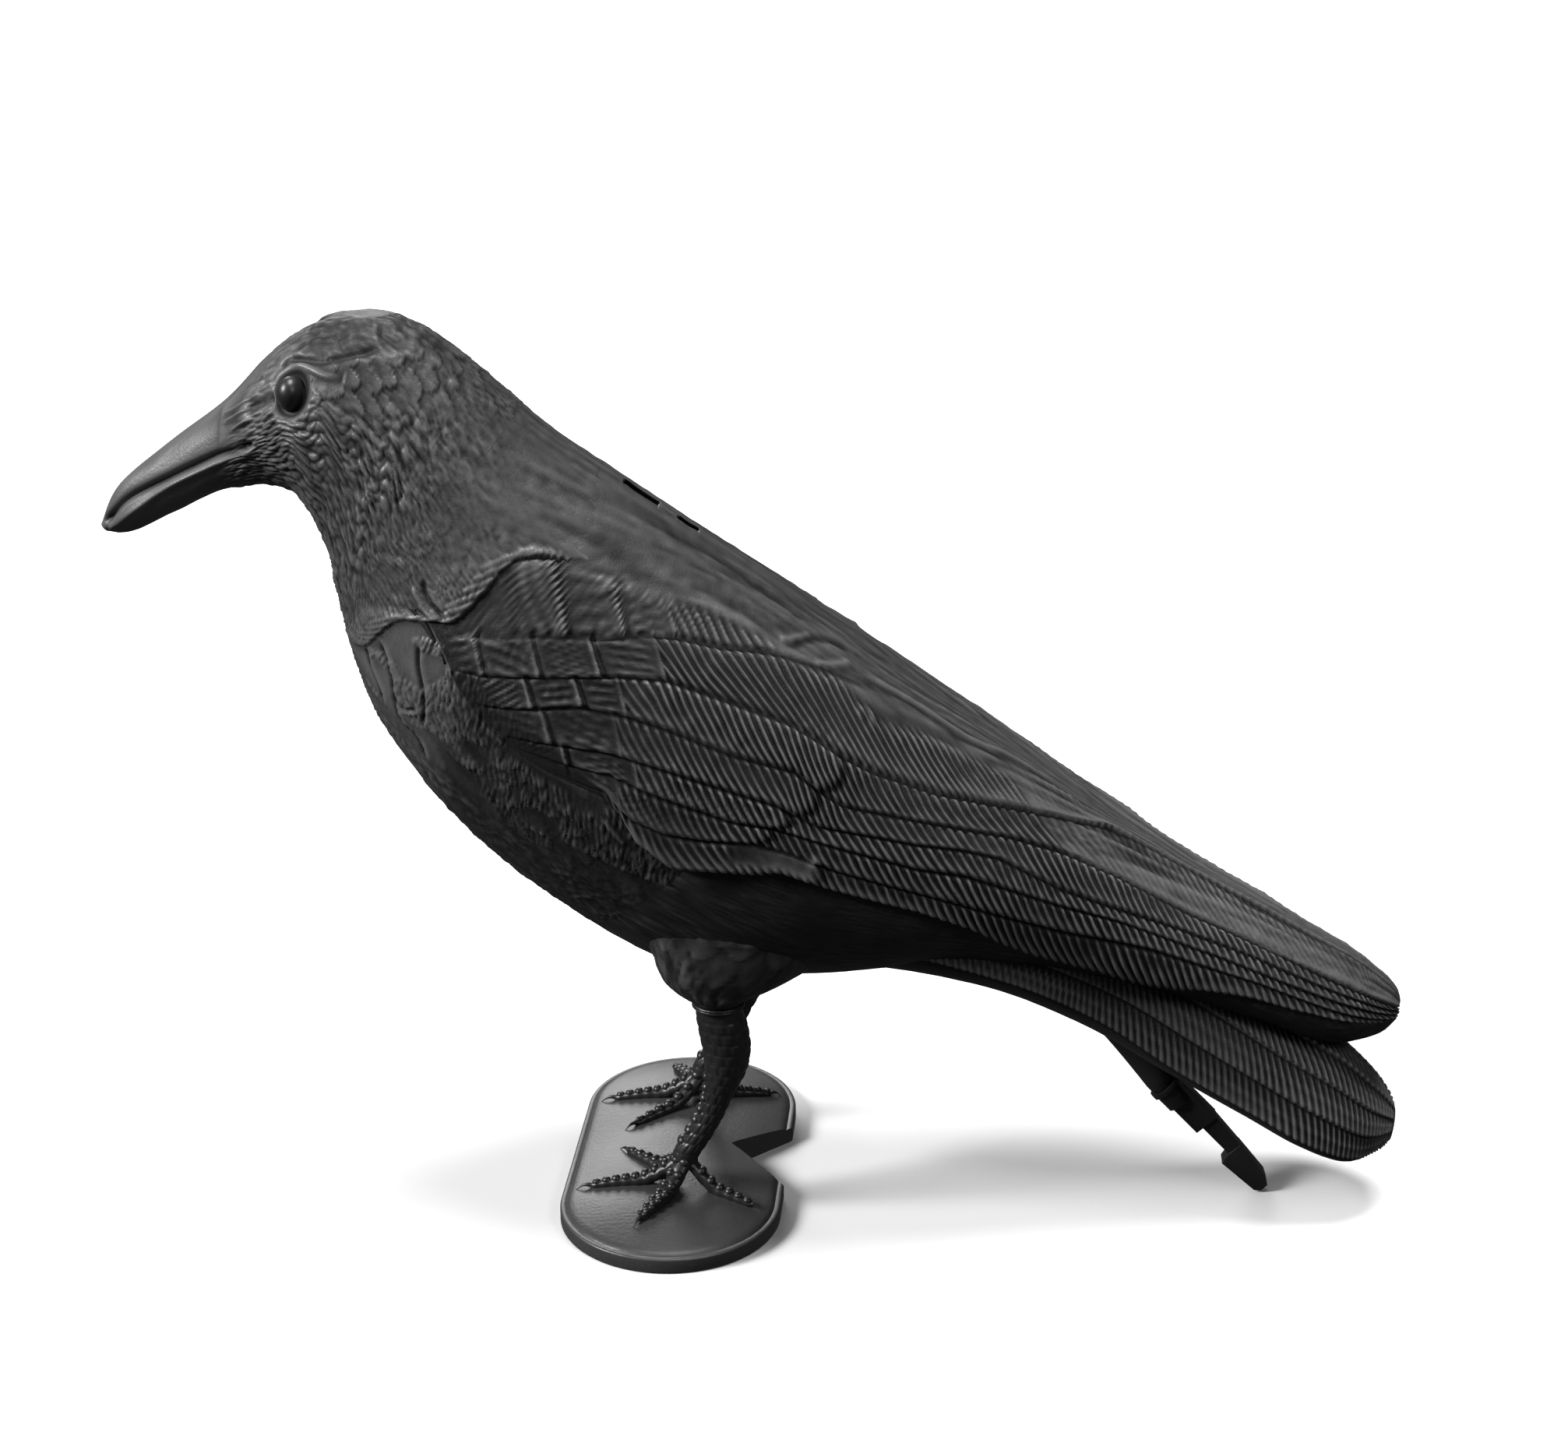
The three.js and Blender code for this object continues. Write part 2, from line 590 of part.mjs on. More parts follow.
function legAt(share) {
  const line = new THREE.SplineCurve(LEG.map((s) => new THREE.Vector2(s.back, LEG_RADIUS * s.radius)));
  const { x: back, y: radius } = line.getPoint(share);
  const top = BELLY_HEIGHT - COLLAR_THICKNESS;
  return { x: LEG_X + back, z: KNUCKLE_HEIGHT + (top - KNUCKLE_HEIGHT) * share, radius };
}

function makeLeg(sign) {
  const y = (sign * LEG_SPREAD) / 2;
  const shank = loft(ROUND_SIDES, LEG_RINGS, (side, ring, reach) => {
    const { x, z, radius } = legAt(ring / LEG_RINGS);
    const turn = (side / ROUND_SIDES) * 2 * Math.PI;
    const aside = LEG_FLATNESS * radius * Math.sin(turn);
    return new THREE.Vector3(x + reach * radius * Math.cos(turn), y - reach * aside, z);
  });
  const collar = new THREE.CylinderGeometry(SOCK_RIM, SOCK_RIM, COLLAR_THICKNESS, COLLAR_SIDES);
  collar.rotateX(Math.PI / 2);
  const plug = new THREE.CylinderGeometry(PLUG_RADIUS, PLUG_RADIUS, PLUG_LENGTH + OVERLAP, ROUND_SIDES);
  plug.rotateX(Math.PI / 2);
  const beads = [];
  for (let i = 0; i < SHANK_BEADS; i += 1) {
    const { x, z, radius } = legAt(BEADS_START + (i * BEAD_PITCH) / (BELLY_HEIGHT - KNUCKLE_HEIGHT));
    const bead = new THREE.SphereGeometry(BEAD_PITCH / 2, 5, 4);
    beads.push(solidOf(placed(bead, x - BEAD_SINK * radius, y, z)));
  }
  return joined([
    shank,
    solidOf(placed(collar, LEG_X, y, BELLY_HEIGHT - COLLAR_THICKNESS / 2)),
    solidOf(placed(plug, LEG_X, y, BELLY_HEIGHT + (PLUG_LENGTH - OVERLAP) / 2)),
    ...beads,
  ]);
}

// Toes: each runs from the knuckle down to the base's top, and its scutes are rings.
// reach is towards the bird's tail and out towards its outside, both from the knuckle.
const TOES = [
  { reach: -34.6, out: 0.5, scutes: 7, thick: 1.0 },
  { reach: -13.6, out: 24, scutes: 5, thick: 1.15 },
  { reach: -23.6, out: -22, scutes: 5, thick: 1.0 },
  { reach: 24.4, out: 9, scutes: 5, thick: 0.95 },
];
const KNUCKLE_RADIUS = 1.45 * TOE_RADIUS;
const SCUTE_WAVE = 0.1;
const TOE_SIDES = 6;
const TOE_TAPER = 0.62;
const TOE_LIFT = 0.35;
const TOE_FALL = 0.45;

function makeToe({ reach: length, out, scutes, thick }, sign) {
  const knuckle = new THREE.Vector3(LEG_X + LEG[0].back, (sign * LEG_SPREAD) / 2, KNUCKLE_HEIGHT);
  const heading = new THREE.Vector3(length, sign * out, 0);
  const aside = new THREE.Vector3(-heading.y, heading.x, 0).normalize();
  const rings = 2 * scutes;
  return loft(TOE_SIDES, rings, (side, ring, reach) => {
    const share = ring / rings;
    const centre = knuckle.clone().addScaledVector(heading, share);
    const wave = ring % 2 === 0 ? 1 - SCUTE_WAVE : 1 + SCUTE_WAVE;
    const radius = TOE_RADIUS * thick * wave * (1 - TOE_TAPER * share ** 1.5);
    const lying = baseTop(centre.x, centre.y) + TOE_LIFT * radius;
    const drop = Math.max(0, 1 - share / TOE_FALL) ** 1.6;
    const turn = (side / TOE_SIDES) * 2 * Math.PI;
    centre.addScaledVector(aside, reach * radius * Math.sin(turn));
    centre.z = lying + (KNUCKLE_HEIGHT - lying) * drop + reach * radius * Math.cos(turn);
    return centre;
  });
}

function makeFoot(sign) {
  const ball = new THREE.SphereGeometry(KNUCKLE_RADIUS, 8, 6);
  const knuckle = placed(ball, LEG_X + LEG[0].back, (sign * LEG_SPREAD) / 2, KNUCKLE_HEIGHT);
  return joined([solidOf(knuckle), ...TOES.map((toe) => makeToe(toe, sign))]);
}

// The three pieces

function makeBody() {
  const head = [bothSides(makeEye), bothSides(makeBristles)];
  const whole = joined([makeTrunk(), ...head, makeTail(), bothSides(makeThigh), makeBoss()]);
  const cuts = [bothSides(makeLegSocket), bothSides(makeGape), makePegSocket(), ...SLITS.map(makeSlit)];
  return cuts.reduce((rest, cut) => rest.subtract(cut), whole);
}

function makeStand() {
  return joined([makeBase(), bothSides(makeLeg), bothSides(makeFoot)]);
}

function named(name, solid, material) {
  const mesh = new THREE.Mesh(geometryOf(solid), material);
  mesh.name = name;
  return mesh;
}

const crow = new THREE.Group();
crow.add(named('crow_body', makeBody(), black));
crow.add(named('leg_stand', makeStand(), blackStand));
crow.add(named('tail_clip', makeClip(), blackClip));

export default crow;
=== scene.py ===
# %% [markdown]
# # A moulded crow decoy
#
# The real thing is a hollow bird blown in black satin plastic. It stands on two moulded legs that
# share one small oval base, and a plastic clip hangs under its tail.
# The engineering solids hold its form already. Here each visible surface is built again as a fine
# mesh over the same form, so that feathers, brows and scales can be raised on it.
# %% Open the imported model
import math

import bmesh
import bpy
import numpy as np
from mathutils import Matrix, Vector
from mathutils.bvhtree import BVHTree


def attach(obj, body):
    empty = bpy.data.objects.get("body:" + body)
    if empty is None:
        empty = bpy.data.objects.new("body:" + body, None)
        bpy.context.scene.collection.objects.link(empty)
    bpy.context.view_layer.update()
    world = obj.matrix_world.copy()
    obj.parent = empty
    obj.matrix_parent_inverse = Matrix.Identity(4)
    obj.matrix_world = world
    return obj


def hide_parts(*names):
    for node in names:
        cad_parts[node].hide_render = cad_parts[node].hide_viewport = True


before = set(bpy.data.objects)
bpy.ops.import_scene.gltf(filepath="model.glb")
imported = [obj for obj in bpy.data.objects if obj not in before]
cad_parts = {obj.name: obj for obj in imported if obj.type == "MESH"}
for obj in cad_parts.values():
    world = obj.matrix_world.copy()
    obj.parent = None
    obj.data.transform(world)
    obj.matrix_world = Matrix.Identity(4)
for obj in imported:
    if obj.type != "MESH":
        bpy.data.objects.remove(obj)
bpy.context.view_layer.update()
print("CAD nodes", sorted(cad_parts))

# %% [markdown]
# ## The form that everything lies on
#
# A modeller could sculpt the bird by hand. A decoy is closer to a boat hull, though: a row of
# slices from beak to wing tip, with a smooth curve through their edges. The same slices make the
# solid, so the fine skin and the solid can't drift apart.
# %% Sizes that are shared with the solids, in millimetres
MM = 0.001
BIRD_LENGTH = 395
BELLY_HEIGHT = 74
ROUNDNESS = 1.08
ROOM_SIDE = 58.2
ROOM_TOP = 277.5


def part(percent):
    return percent / 100 * BIRD_LENGTH


def place(x, z):
    return part(x), BELLY_HEIGHT + part(z)


# Highest point, lowest point, half width and waist of each slice. Places and widths are
# percentages of the bird's length behind and above its hip.
TRUNK = np.array([
    (-43.7, 34.9, -43.2, 34.3, 0.3, 0.50), (-41.9, 38.2, -41.2, 34.4, 1.3, 0.45),
    (-37.3, 41.9, -37.7, 36.1, 2.1, 0.45), (-33.4, 44.8, -33.4, 38.1, 3.0, 0.45),
    (-29.9, 48.2, -30.1, 38.6, 4.6, 0.45), (-26.8, 50.4, -27.8, 37.7, 5.9, 0.48),
    (-22.9, 51.7, -26.5, 35.5, 6.8, 0.50), (-18.3, 50.4, -25.7, 33.0, 7.5, 0.50),
    (-13.6, 46.8, -25.2, 29.5, 8.8, 0.48), (-8.6, 42.5, -24.3, 25.2, 10.4, 0.46),
    (-2.5, 38.4, -22.1, 19.7, 12.3, 0.45), (4.6, 33.6, -17.0, 12.9, 13.6, 0.45),
    (12.2, 28.5, -9.5, 6.3, 14.0, 0.46), (19.7, 23.1, 0.0, 0.8, 13.3, 0.50),
    (26.6, 18.3, 9.1, 0.4, 11.6, 0.52), (32.9, 13.6, 18.7, 1.6, 9.6, 0.50),
    (38.0, 10.2, 28.4, 1.4, 7.8, 0.44), (43.5, 7.0, 36.7, 0.0, 6.5, 0.40),
    (48.9, 4.2, 44.6, -2.5, 5.3, 0.40), (52.9, 2.1, 50.6, -4.6, 4.2, 0.40),
    (55.6, 0.0, 54.5, -4.2, 2.6, 0.42), (56.4, -1.5, 56.1, -3.0, 1.2, 0.45),
])
TAIL = np.array([
    (13.0, 12.0, 3.0, 1.5, 7.5, 0.40), (24.0, 10.0, 13.5, 1.8, 8.4, 0.40),
    (33.0, 6.0, 23.0, 0.4, 7.4, 0.35), (38.0, 3.4, 31.2, -3.0, 6.0, 0.28),
    (43.3, 0.4, 38.0, -6.8, 5.6, 0.20), (48.2, -3.0, 43.9, -10.2, 5.5, 0.20),
    (52.2, -5.4, 49.0, -13.1, 5.5, 0.20), (55.2, -8.3, 52.9, -14.6, 4.5, 0.25),
    (56.9, -10.9, 56.3, -13.6, 1.8, 0.35),
])
print(len(TRUNK), "slices of the trunk and", len(TAIL), "of the tail")


# %% A smooth curve through the rows of a table, and a point on a slice
def spline(table, at):
    last = len(table) - 1
    at = np.clip(at, 0, last)
    low = np.minimum(np.floor(at).astype(int), last - 1)
    w = (at - low)[..., None]
    before, here = table[np.maximum(low - 1, 0)], table[low]
    there, after = table[low + 1], table[np.minimum(low + 2, last)]
    leave, arrive = (there - before) / 2, (after - here) / 2
    curl = 2 * (here - there) + leave + arrive
    bend = 3 * (there - here) - 2 * leave - arrive
    return ((curl * w + bend) * w + leave) * w + here


def grid(x, y, z):
    """Points from three tables, of which each may be a single row, column or number."""
    return np.stack(np.broadcast_arrays(x, y, z), axis=-1)


def skin(table, at, turn):
    """Points of the plain form. turn is 0 on the ridge, pi at the keel and positive to the left."""
    at, turn = np.broadcast_arrays(at, turn)
    rows = spline(table, at)
    top, low, wide, waist = rows[..., 0:2], rows[..., 2:4], rows[..., 4], rows[..., 5:6]
    up, across = np.cos(turn), np.sin(turn)
    middle = low + (top - low) * waist
    end = np.where(up[..., None] >= 0, top, low)
    flat = middle + (end - middle) * (np.abs(up) ** ROUNDNESS)[..., None]
    aside = -np.sign(across) * np.abs(across) ** ROUNDNESS * wide
    x, z = place(flat[..., 0], flat[..., 1])
    return grid(x, part(aside), z)


print("beak tip at", np.round(skin(TRUNK, np.array(0.0), np.array(0.0)), 1))

# %% [markdown]
# ## From a grid to a closed skin
#
# Every fine surface starts as Blender's own flat grid. Its vertices are moved to their places,
# the two long edges are merged into a seam, and both ends run to one point inside the bird.
# That gives a closed shell, which a printed or exported part needs.
# %% Grid, seam and caps
MERGE = 1e-7
# The even tone of a skin, between painted shade in grooves and painted highlight on ridges
EVEN_WEAR_AND_SHADE = 0.35


def linked(name, data):
    made = bpy.data.objects.new(name, data)
    bpy.context.collection.objects.link(made)
    return made


def finished(name, bm):
    """Merges doubles, turns the faces outwards and puts the object into the scene."""
    bmesh.ops.remove_doubles(bm, verts=bm.verts, dist=MERGE)
    bmesh.ops.recalc_face_normals(bm, faces=bm.faces)
    mesh = bpy.data.meshes.new(name)
    bm.to_mesh(mesh)
    bm.free()
    mesh.shade_smooth()
    return linked(name, mesh)


def add_tube(bm, points, creases=(), wear_and_shade=None):
    """Adds a closed tube to bm. points has a row for each ring, whose last point is its first.
    Both rims stay sharp, and so do the columns in creases. The last argument gives each point's
    tone: painted shade in grooves, and wear with a painted highlight on ridges."""
    rows, cols = points.shape[0] + 1, points.shape[1] - 1
    first, last = (np.repeat(rim.mean(axis=1, keepdims=True), cols + 1, axis=1)
                   for rim in (points[:1], points[-1:]))
    table = np.concatenate([first, points, last]) * MM
    sheet = bmesh.new()
    bmesh.ops.create_grid(sheet, x_segments=cols, y_segments=rows, size=0.5)
    mesh = bpy.data.meshes.new("grid")
    sheet.to_mesh(mesh)
    sheet.free()
    flat = np.empty(3 * len(mesh.vertices), dtype=np.float32)
    mesh.vertices.foreach_get("co", flat)
    flat = flat.reshape(-1, 3)
    col = np.rint((flat[:, 0] + 0.5) * cols).astype(int)
    row = np.rint((flat[:, 1] + 0.5) * rows).astype(int)
    mesh.vertices.foreach_set("co", table[row, col].astype(np.float32).ravel())
    wear_and_shade = np.full(points.shape[:2], EVEN_WEAR_AND_SHADE) if wear_and_shade is None else wear_and_shade
    wear_and_shade = np.concatenate([wear_and_shade[:1], wear_and_shade, wear_and_shade[-1:]])
    stored = mesh.attributes.new("wear_and_shade", "FLOAT", "POINT").data
    stored.foreach_set("value", wear_and_shade[row, col].astype(np.float32))
    ends = np.empty(2 * len(mesh.edges), dtype=np.int32)
    mesh.edges.foreach_get("vertices", ends)
    pair = row[ends.reshape(-1, 2)]
    rim = (pair[:, 0] == pair[:, 1]) & ((pair[:, 0] == 1) | (pair[:, 0] == rows - 1))
    pair = col[ends.reshape(-1, 2)] % cols
    for crease in creases:
        rim |= (pair[:, 0] == crease) & (pair[:, 1] == crease)
    mesh.edges.foreach_set("use_edge_sharp", rim)
    whole = bmesh.new()
    whole.from_mesh(mesh)
    bmesh.ops.remove_doubles(whole, verts=whole.verts, dist=MERGE)
    # Where a ring has shrunk to a line, merging leaves one face of its cap hanging
    hanging = [face for face in whole.faces if any(edge.is_boundary for edge in face.edges)]
    bmesh.ops.delete(whole, geom=hanging, context="FACES")
    bmesh.ops.recalc_face_normals(whole, faces=whole.faces)
    whole.to_mesh(mesh)
    whole.free()
    bm.from_mesh(mesh)
    bpy.data.meshes.remove(mesh)
    return bm


def new_piece(name, bm, stands_for="crow_body"):
    piece = finished(name, bm)
    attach(piece, "root")
    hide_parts(stands_for)
    print(name, sum(len(face.vertices) - 2 for face in piece.data.polygons), "triangles")
    return piece


# %% Raising a surface along its normals
# How the relief becomes colour: painted shade in grooves, wear and painted highlight on ridges
DEEPEST_SHADED, WEAR_SHADE_REACH, WEAR_SHADE_HEIGHT = -2.5, 14, 0.75


def normals(points, closed=True):
    if closed:
        around = np.roll(points[:, :-1], -1, axis=1) - np.roll(points[:, :-1], 1, axis=1)
        around = np.concatenate([around, around[:, :1]], axis=1)
    else:
        around = np.gradient(points, axis=1)
    along = np.gradient(points, axis=0)
    n = np.cross(along, around)
    n /= np.linalg.norm(n, axis=-1, keepdims=True) + 1e-9
    centre = points.mean(axis=1, keepdims=True)
    outward = np.sign(np.sum(n * (points - centre)))
    return n * outward


def raised(points, height, closed=True):
    """Points lifted along their normals, but never outside the box of the solids."""
    lifted = points + normals(points, closed) * height[..., None]
    lifted[..., 1] = np.clip(lifted[..., 1], -ROOM_SIDE, ROOM_SIDE)
    lifted[..., 2] = np.minimum(lifted[..., 2], ROOM_TOP)
    return lifted


def wear_and_shade_of(height, painted_light=0):
    """How far each point stands over its neighbourhood, as colour: near 0 in grooves, which is
    painted shade, and 1 on ridges, which is wear and painted highlight. The second argument shifts
    the tone where more light or shade is painted.
    """
    height = np.maximum(height, DEEPEST_SHADED)
    soft = height
    for _ in range(WEAR_SHADE_REACH):
        wide = np.pad(soft, ((1, 1), (0, 0)), "reflect")
        soft = (wide[:-2] + soft + wide[2:]) / 3
        wide = np.pad(soft, ((0, 0), (1, 1)), "reflect")
        soft = (wide[:, :-2] + soft + wide[:, 2:]) / 3
    return np.clip(EVEN_WEAR_AND_SHADE + painted_light + (height - soft) / WEAR_SHADE_HEIGHT, 0, 1)


def measured(points):
    """Millimetres along the rows and across them, the second from the ridge outwards."""
    along = np.linalg.norm(np.diff(points, axis=0), axis=-1)
    along = np.concatenate([np.zeros_like(along[:1]), np.cumsum(along, axis=0)])
    across = np.linalg.norm(np.diff(points, axis=1), axis=-1)
    across = np.concatenate([np.zeros_like(across[:, :1]), np.cumsum(across, axis=1)], axis=1)
    return along, np.minimum(across, across[:, -1:] - across)


# %% Soft steps and mounds
def ease(low, high, value):
    share = np.clip((value - low) / (high - low), 0, 1)
    return share * share * (3 - 2 * share)


def fall(low, high, value):
    return 1 - ease(low, high, value)


def between(rise, top, edge, end, value):
    """1 from top to edge, and 0 before rise and past end."""
    return ease(rise, top, value) * fall(edge, end, value)


def mound(away, width):
    return np.exp(-(away / width) ** 2)


def full_turn(cols):
    return np.linspace(0, 2 * np.pi, cols + 1)[None, :]


def one_side(points):
    """The same points with both sides of the bird laid on one."""
    return points * (1, 0, 1) + np.abs(points) * (0, 1, 0)


# %% [markdown]
# ## Feathers as a pattern
#
# The bird's small feathers lie like slates: each one covers the roots of those behind it. A
# sculptor cuts them one by one. Here one function lays pointed plumes on a staggered lattice, a
# second gives soft noise to bend the rows, and both are repeatable, because they read no clock.
# %% Repeatable noise and plumes
HAIR, LINE_STEPS = 0.42, 24


def hashed(i, j, seed):
    mixed = i.astype(np.int64) * 374761393 + j.astype(np.int64) * 668265263 + seed * 144269504
    mixed = (mixed ^ (mixed >> 13)) * 1274126177
    return ((mixed ^ (mixed >> 16)) & 0xFFFFFF) / 0x1000000


def noise(x, y, seed):
    """Soft noise between -1 and 1, one bump to each unit."""
    x, y = np.broadcast_arrays(x, y)
    i, j = np.floor(x), np.floor(y)
    fx, fy = ease(0, 1, x - i), ease(0, 1, y - j)
    low = hashed(i, j, seed) * (1 - fx) + hashed(i + 1, j, seed) * fx
    high = hashed(i, j + 1, seed) * (1 - fx) + hashed(i + 1, j + 1, seed) * fx
    return 2 * (low * (1 - fy) + high * fy) - 1


def plumes(down, across, seed, length=1.9, width=0.62, point=1.6, keel=0.3):
    """Overlapping feathers, 0 at the root and 1 at the tip. down and across count feathers."""
    down = down + 0.22 * noise(down * 0.6, across * 0.6, seed + 1)
    across = across + 0.3 * noise(down * 0.45, across * 0.45, seed + 2)
    height = np.zeros_like(down)
    for step in (1, 0, -1, -2):
        i = np.floor(down) + step
        shift = 0.5 * np.mod(i, 2)
        for side in (-1, 0, 1):
            j = np.floor(across - shift) + side
            root = i + 0.4 * hashed(i, j, seed)
            reach = (down - root) / length
            aside = (across - (j + 0.5 + shift + 0.36 * (hashed(i, j, seed + 5) - 0.5))) / width
            half = np.sqrt(np.clip(1 - np.clip(reach, 0, 1) ** point, 0, 1)) + 1e-6
            inside = (reach > 0) & (reach < 1) & (np.abs(aside) < half)
            level = reach * (1 - keel * (aside / half) ** 2)
            height = np.where(inside, level, height)
    return height


def strokes(down, across, seed, length=2.4, width=0.5):
    """Fine raised hairs, each a rounded strand that fades at both ends."""
    across = across + 0.8 * noise(down * 0.33, across * 0.2, seed + 1)
    height = np.zeros_like(down)
    for step in (-2, -1, 0):
        i = np.floor(down) + step
        shift = hashed(i, i, seed)
        for side in (-1, 0, 1):
            j = np.floor(across - shift) + side
            reach = (down - i - hashed(i, j, seed)) / length
            aside = (across - (j + 0.5 + shift + 0.5 * (hashed(i, j, seed + 3) - 0.5))) / width
            strand = np.clip(1 - aside ** 2, 0, 1) * np.clip(4 * reach * (1 - reach), 0, 1)
            strand = strand * (0.45 + 0.55 * hashed(i, j, seed + 9))
            height = np.maximum(height, np.where((reach > 0) & (reach < 1), strand, 0))
    return height


def nearest(points, line):
    """Distance from each point to a line of points, and how far along it that is, from 0 to 1."""
    lengths = np.linalg.norm(np.diff(line, axis=0), axis=1)
    gone = np.concatenate([[0], np.cumsum(lengths)])
    best, where = np.full(points.shape[:-1], np.inf), np.zeros(points.shape[:-1])
    for k, (start, end) in enumerate(zip(line[:-1], line[1:])):
        way = end - start
        share = np.clip((points - start) @ way / (way @ way), 0, 1)
        gap = np.linalg.norm(points - (start + share[..., None] * way), axis=-1)
        closer = gap < best
        best = np.where(closer, gap, best)
        where = np.where(closer, (gone[k] + share * lengths[k]) / gone[-1], where)
    return best, where


def ridge(points, line, width, height, taper=0.15):
    """A rounded ridge along a smooth line, or a groove where height is below 0."""
    line = np.asarray(line, dtype=float)
    gap, where = nearest(points, spline(line, np.linspace(0, len(line) - 1, LINE_STEPS)))
    return height * ease(0, taper, where) * ease(0, taper, 1 - where) * mound(gap, width)


print("one plume rises to", plumes(np.array([0.9]), np.array([0.5]), 1).round(2))

# %% [markdown]
# ## Where the wing lies
#
# A folded wing is measured best along its own axis, which falls from the shoulder to the wing
# tip. A place on it is a distance along that axis and an angle round it, 0 on the bird's ridge.
# The long feathers' edges are drawn as lines of such places, in millimetres and degrees.
# %% The wing's axis and its lines
AXIS_START = np.array([-60.0, 0.0, 172.0])
AXIS_END = np.array([222.0, 0.0, 66.0])
AXIS = (AXIS_END - AXIS_START) / np.linalg.norm(AXIS_END - AXIS_START)
ABOVE = np.array([-AXIS[2], 0.0, AXIS[0]])


def wing_place(points):
    """Distance along the wing's axis, and degrees from the ridge, the same on both sides."""
    away = points - AXIS_START
    return away @ AXIS, np.degrees(np.arctan2(np.abs(away[..., 1]), away @ ABOVE))


WING_EDGE = [(-34, 50), (-24, 56), (-14, 63), (-7, 71), (0, 80), (10, 88), (22, 93), (33, 95),
             (50, 95.5), (57, 99), (63, 103.5), (76, 107), (93, 102), (105, 98.5), (119, 99),
             (147, 99), (163, 101), (185, 107), (218, 111), (253, 103), (280, 106), (320, 108)]
CAPE_EDGE = [(14, 0), (15, 8), (17, 18), (19, 26), (18, 32.5), (13, 33.5), (8, 35), (3, 38),
             (0, 42.5), (-1, 46), (-3, 51), (-5, 56), (-8, 60.5), (-13, 61.5), (-16, 62.5),
             (-21, 63.5), (-24, 66), (-27, 73), (-29, 81), (-36, 95)]
FEATHER_LINES = [
    [(-34, 40), (-20, 55), (-7, 63), (5, 60), (17, 55), (33, 50), (45, 44), (53, 41), (66, 38),
     (80, 32), (99, 27), (120, 24), (163, 18), (200, 12), (320, 8)],
    [(-34, 42), (-20, 56.5), (-8, 66), (-2, 74), (6, 72), (22, 66), (42, 58), (54, 54), (69, 53),
     (93, 52), (108, 55), (120, 56), (140, 54), (152, 50), (169, 42), (182, 34), (194, 24),
     (215, 18), (320, 14)],
    [(-34, 44), (-20, 57.5), (-8, 67.5), (0, 78), (5, 82), (10, 81), (22, 76), (35, 70), (48, 68),
     (60, 67.5), (80, 68), (98, 66), (107, 69), (115, 71), (136, 67), (152, 63), (164, 59),
     (183, 55), (202, 55), (225, 59), (248, 62), (283, 68), (320, 70)],
    [(-34, 46), (-20, 58.5), (-8, 68.5), (0, 79), (6, 84), (18, 88), (34, 83), (48, 80), (67, 79),
     (97, 78), (110, 80), (122, 78), (139, 75), (153, 71), (164, 69), (185, 73), (202, 73),
     (225, 72), (250, 73), (283, 78), (320, 80)],
    [(-34, 48), (-20, 59.3), (-8, 69.3), (0, 79.5), (8, 86), (20, 90.5), (36, 88.5), (49, 86),
     (62, 87), (87, 87), (97, 85), (115, 84.5), (142, 83), (156, 80), (188, 80), (205, 79),
     (240, 81), (283, 87), (320, 89)],
    [(-34, 49), (-20, 60), (-8, 69.8), (0, 79.8), (10, 87.2), (22, 92), (33, 93), (50, 92),
     (60, 96.5), (70, 97), (80, 95), (92, 91.5), (104, 90.5), (120, 91.5), (145, 91), (166, 91),
     (190, 91), (218, 88), (255, 90), (283, 96), (320, 98)],
]


def line_at(line, along):
    return np.interp(along, *np.transpose(line))


def line_on(line, angle):
    """The distance along the axis at which a line reaches an angle."""
    along, angles = np.transpose(line)
    return np.interp(angle, angles, along)


def under_wing(points):
    """How far a point lies above the wing's lower edge and behind the cape's edge, in millimetres.
    The wing covers the trunk where both are over 0."""
    along, angle = wing_place(points)
    radius = np.linalg.norm(points - (AXIS_START + along[..., None] * AXIS), axis=-1)
    below = np.radians(line_at(WING_EDGE, along) - angle) * radius
    return below, (along - line_on(CAPE_EDGE, angle)) * 0.8


def drawn(along, angle, lines):
    """Ridges and grooves on lines of wing places. One degree is close to one millimetre there."""
    places = np.stack([along, angle], axis=-1)
    return sum(ridge(places, *line) for line in lines)


# %% Patterns that two skins share, so that no joint shows between them
def on_back(angle):
    """1 on the back, where the cape runs into the wings without an edge."""
    return fall(31, 34, angle)


def on_flank(angle):
    return ease(58, 66, angle)


def at_front(along):
    """1 at the wing's front, where its lower edge melts into the flank."""
    return fall(15, 70, along)


def back_feathers(along, angle):
    """The soft streaks of the back."""
    streaks = 0.42 * strokes(along / 16 + 20, angle / 3.4 + 20, 73)
    streaks += 0.3 * noise(along / 14, angle / 5, 75)
    return streaks + 0.12 * noise(along / 3, angle / 1.8, 77)


def flank_feathers(along, angle):
    """Short curved hairs on the flank, in tufts."""
    down, side = (along + 1.6 * angle) / 4 + 40, (along - 0.3 * angle) / 1.7 + 60
    some = ease(0.15, 0.5, noise(along / 12 + 9, angle / 7, 49))
    return (0.08 + 0.92 * some) * 0.9 * strokes(down, side, 45, width=HAIR)


def neck_feathers(along, across):
    """Blunt plumes and hairs, counted from the seam between head and breast."""
    blunt = plumes(along / 8.8 + 10, across / 8.4 + 20, 41, 1.3, 0.56, point=5, keel=0.1)
    down, side = (along + 0.5 * across) / 2.6 + 20, (across - 0.3 * along) / 1.6 + 60
    some = 0.45 + 0.55 * ease(-0.5, 0.5, noise(along / 9 + 3, across / 8, 51))
    uneven = 0.2 * noise(along / 12 + 30, across / 9, 53)
    uneven += 0.12 * noise(along / 2.5, across / 2, 55)
    return 0.13 * blunt + 0.68 * strokes(down, side, 47, width=HAIR) * some + uneven


print("wing axis", np.round(AXIS, 3))

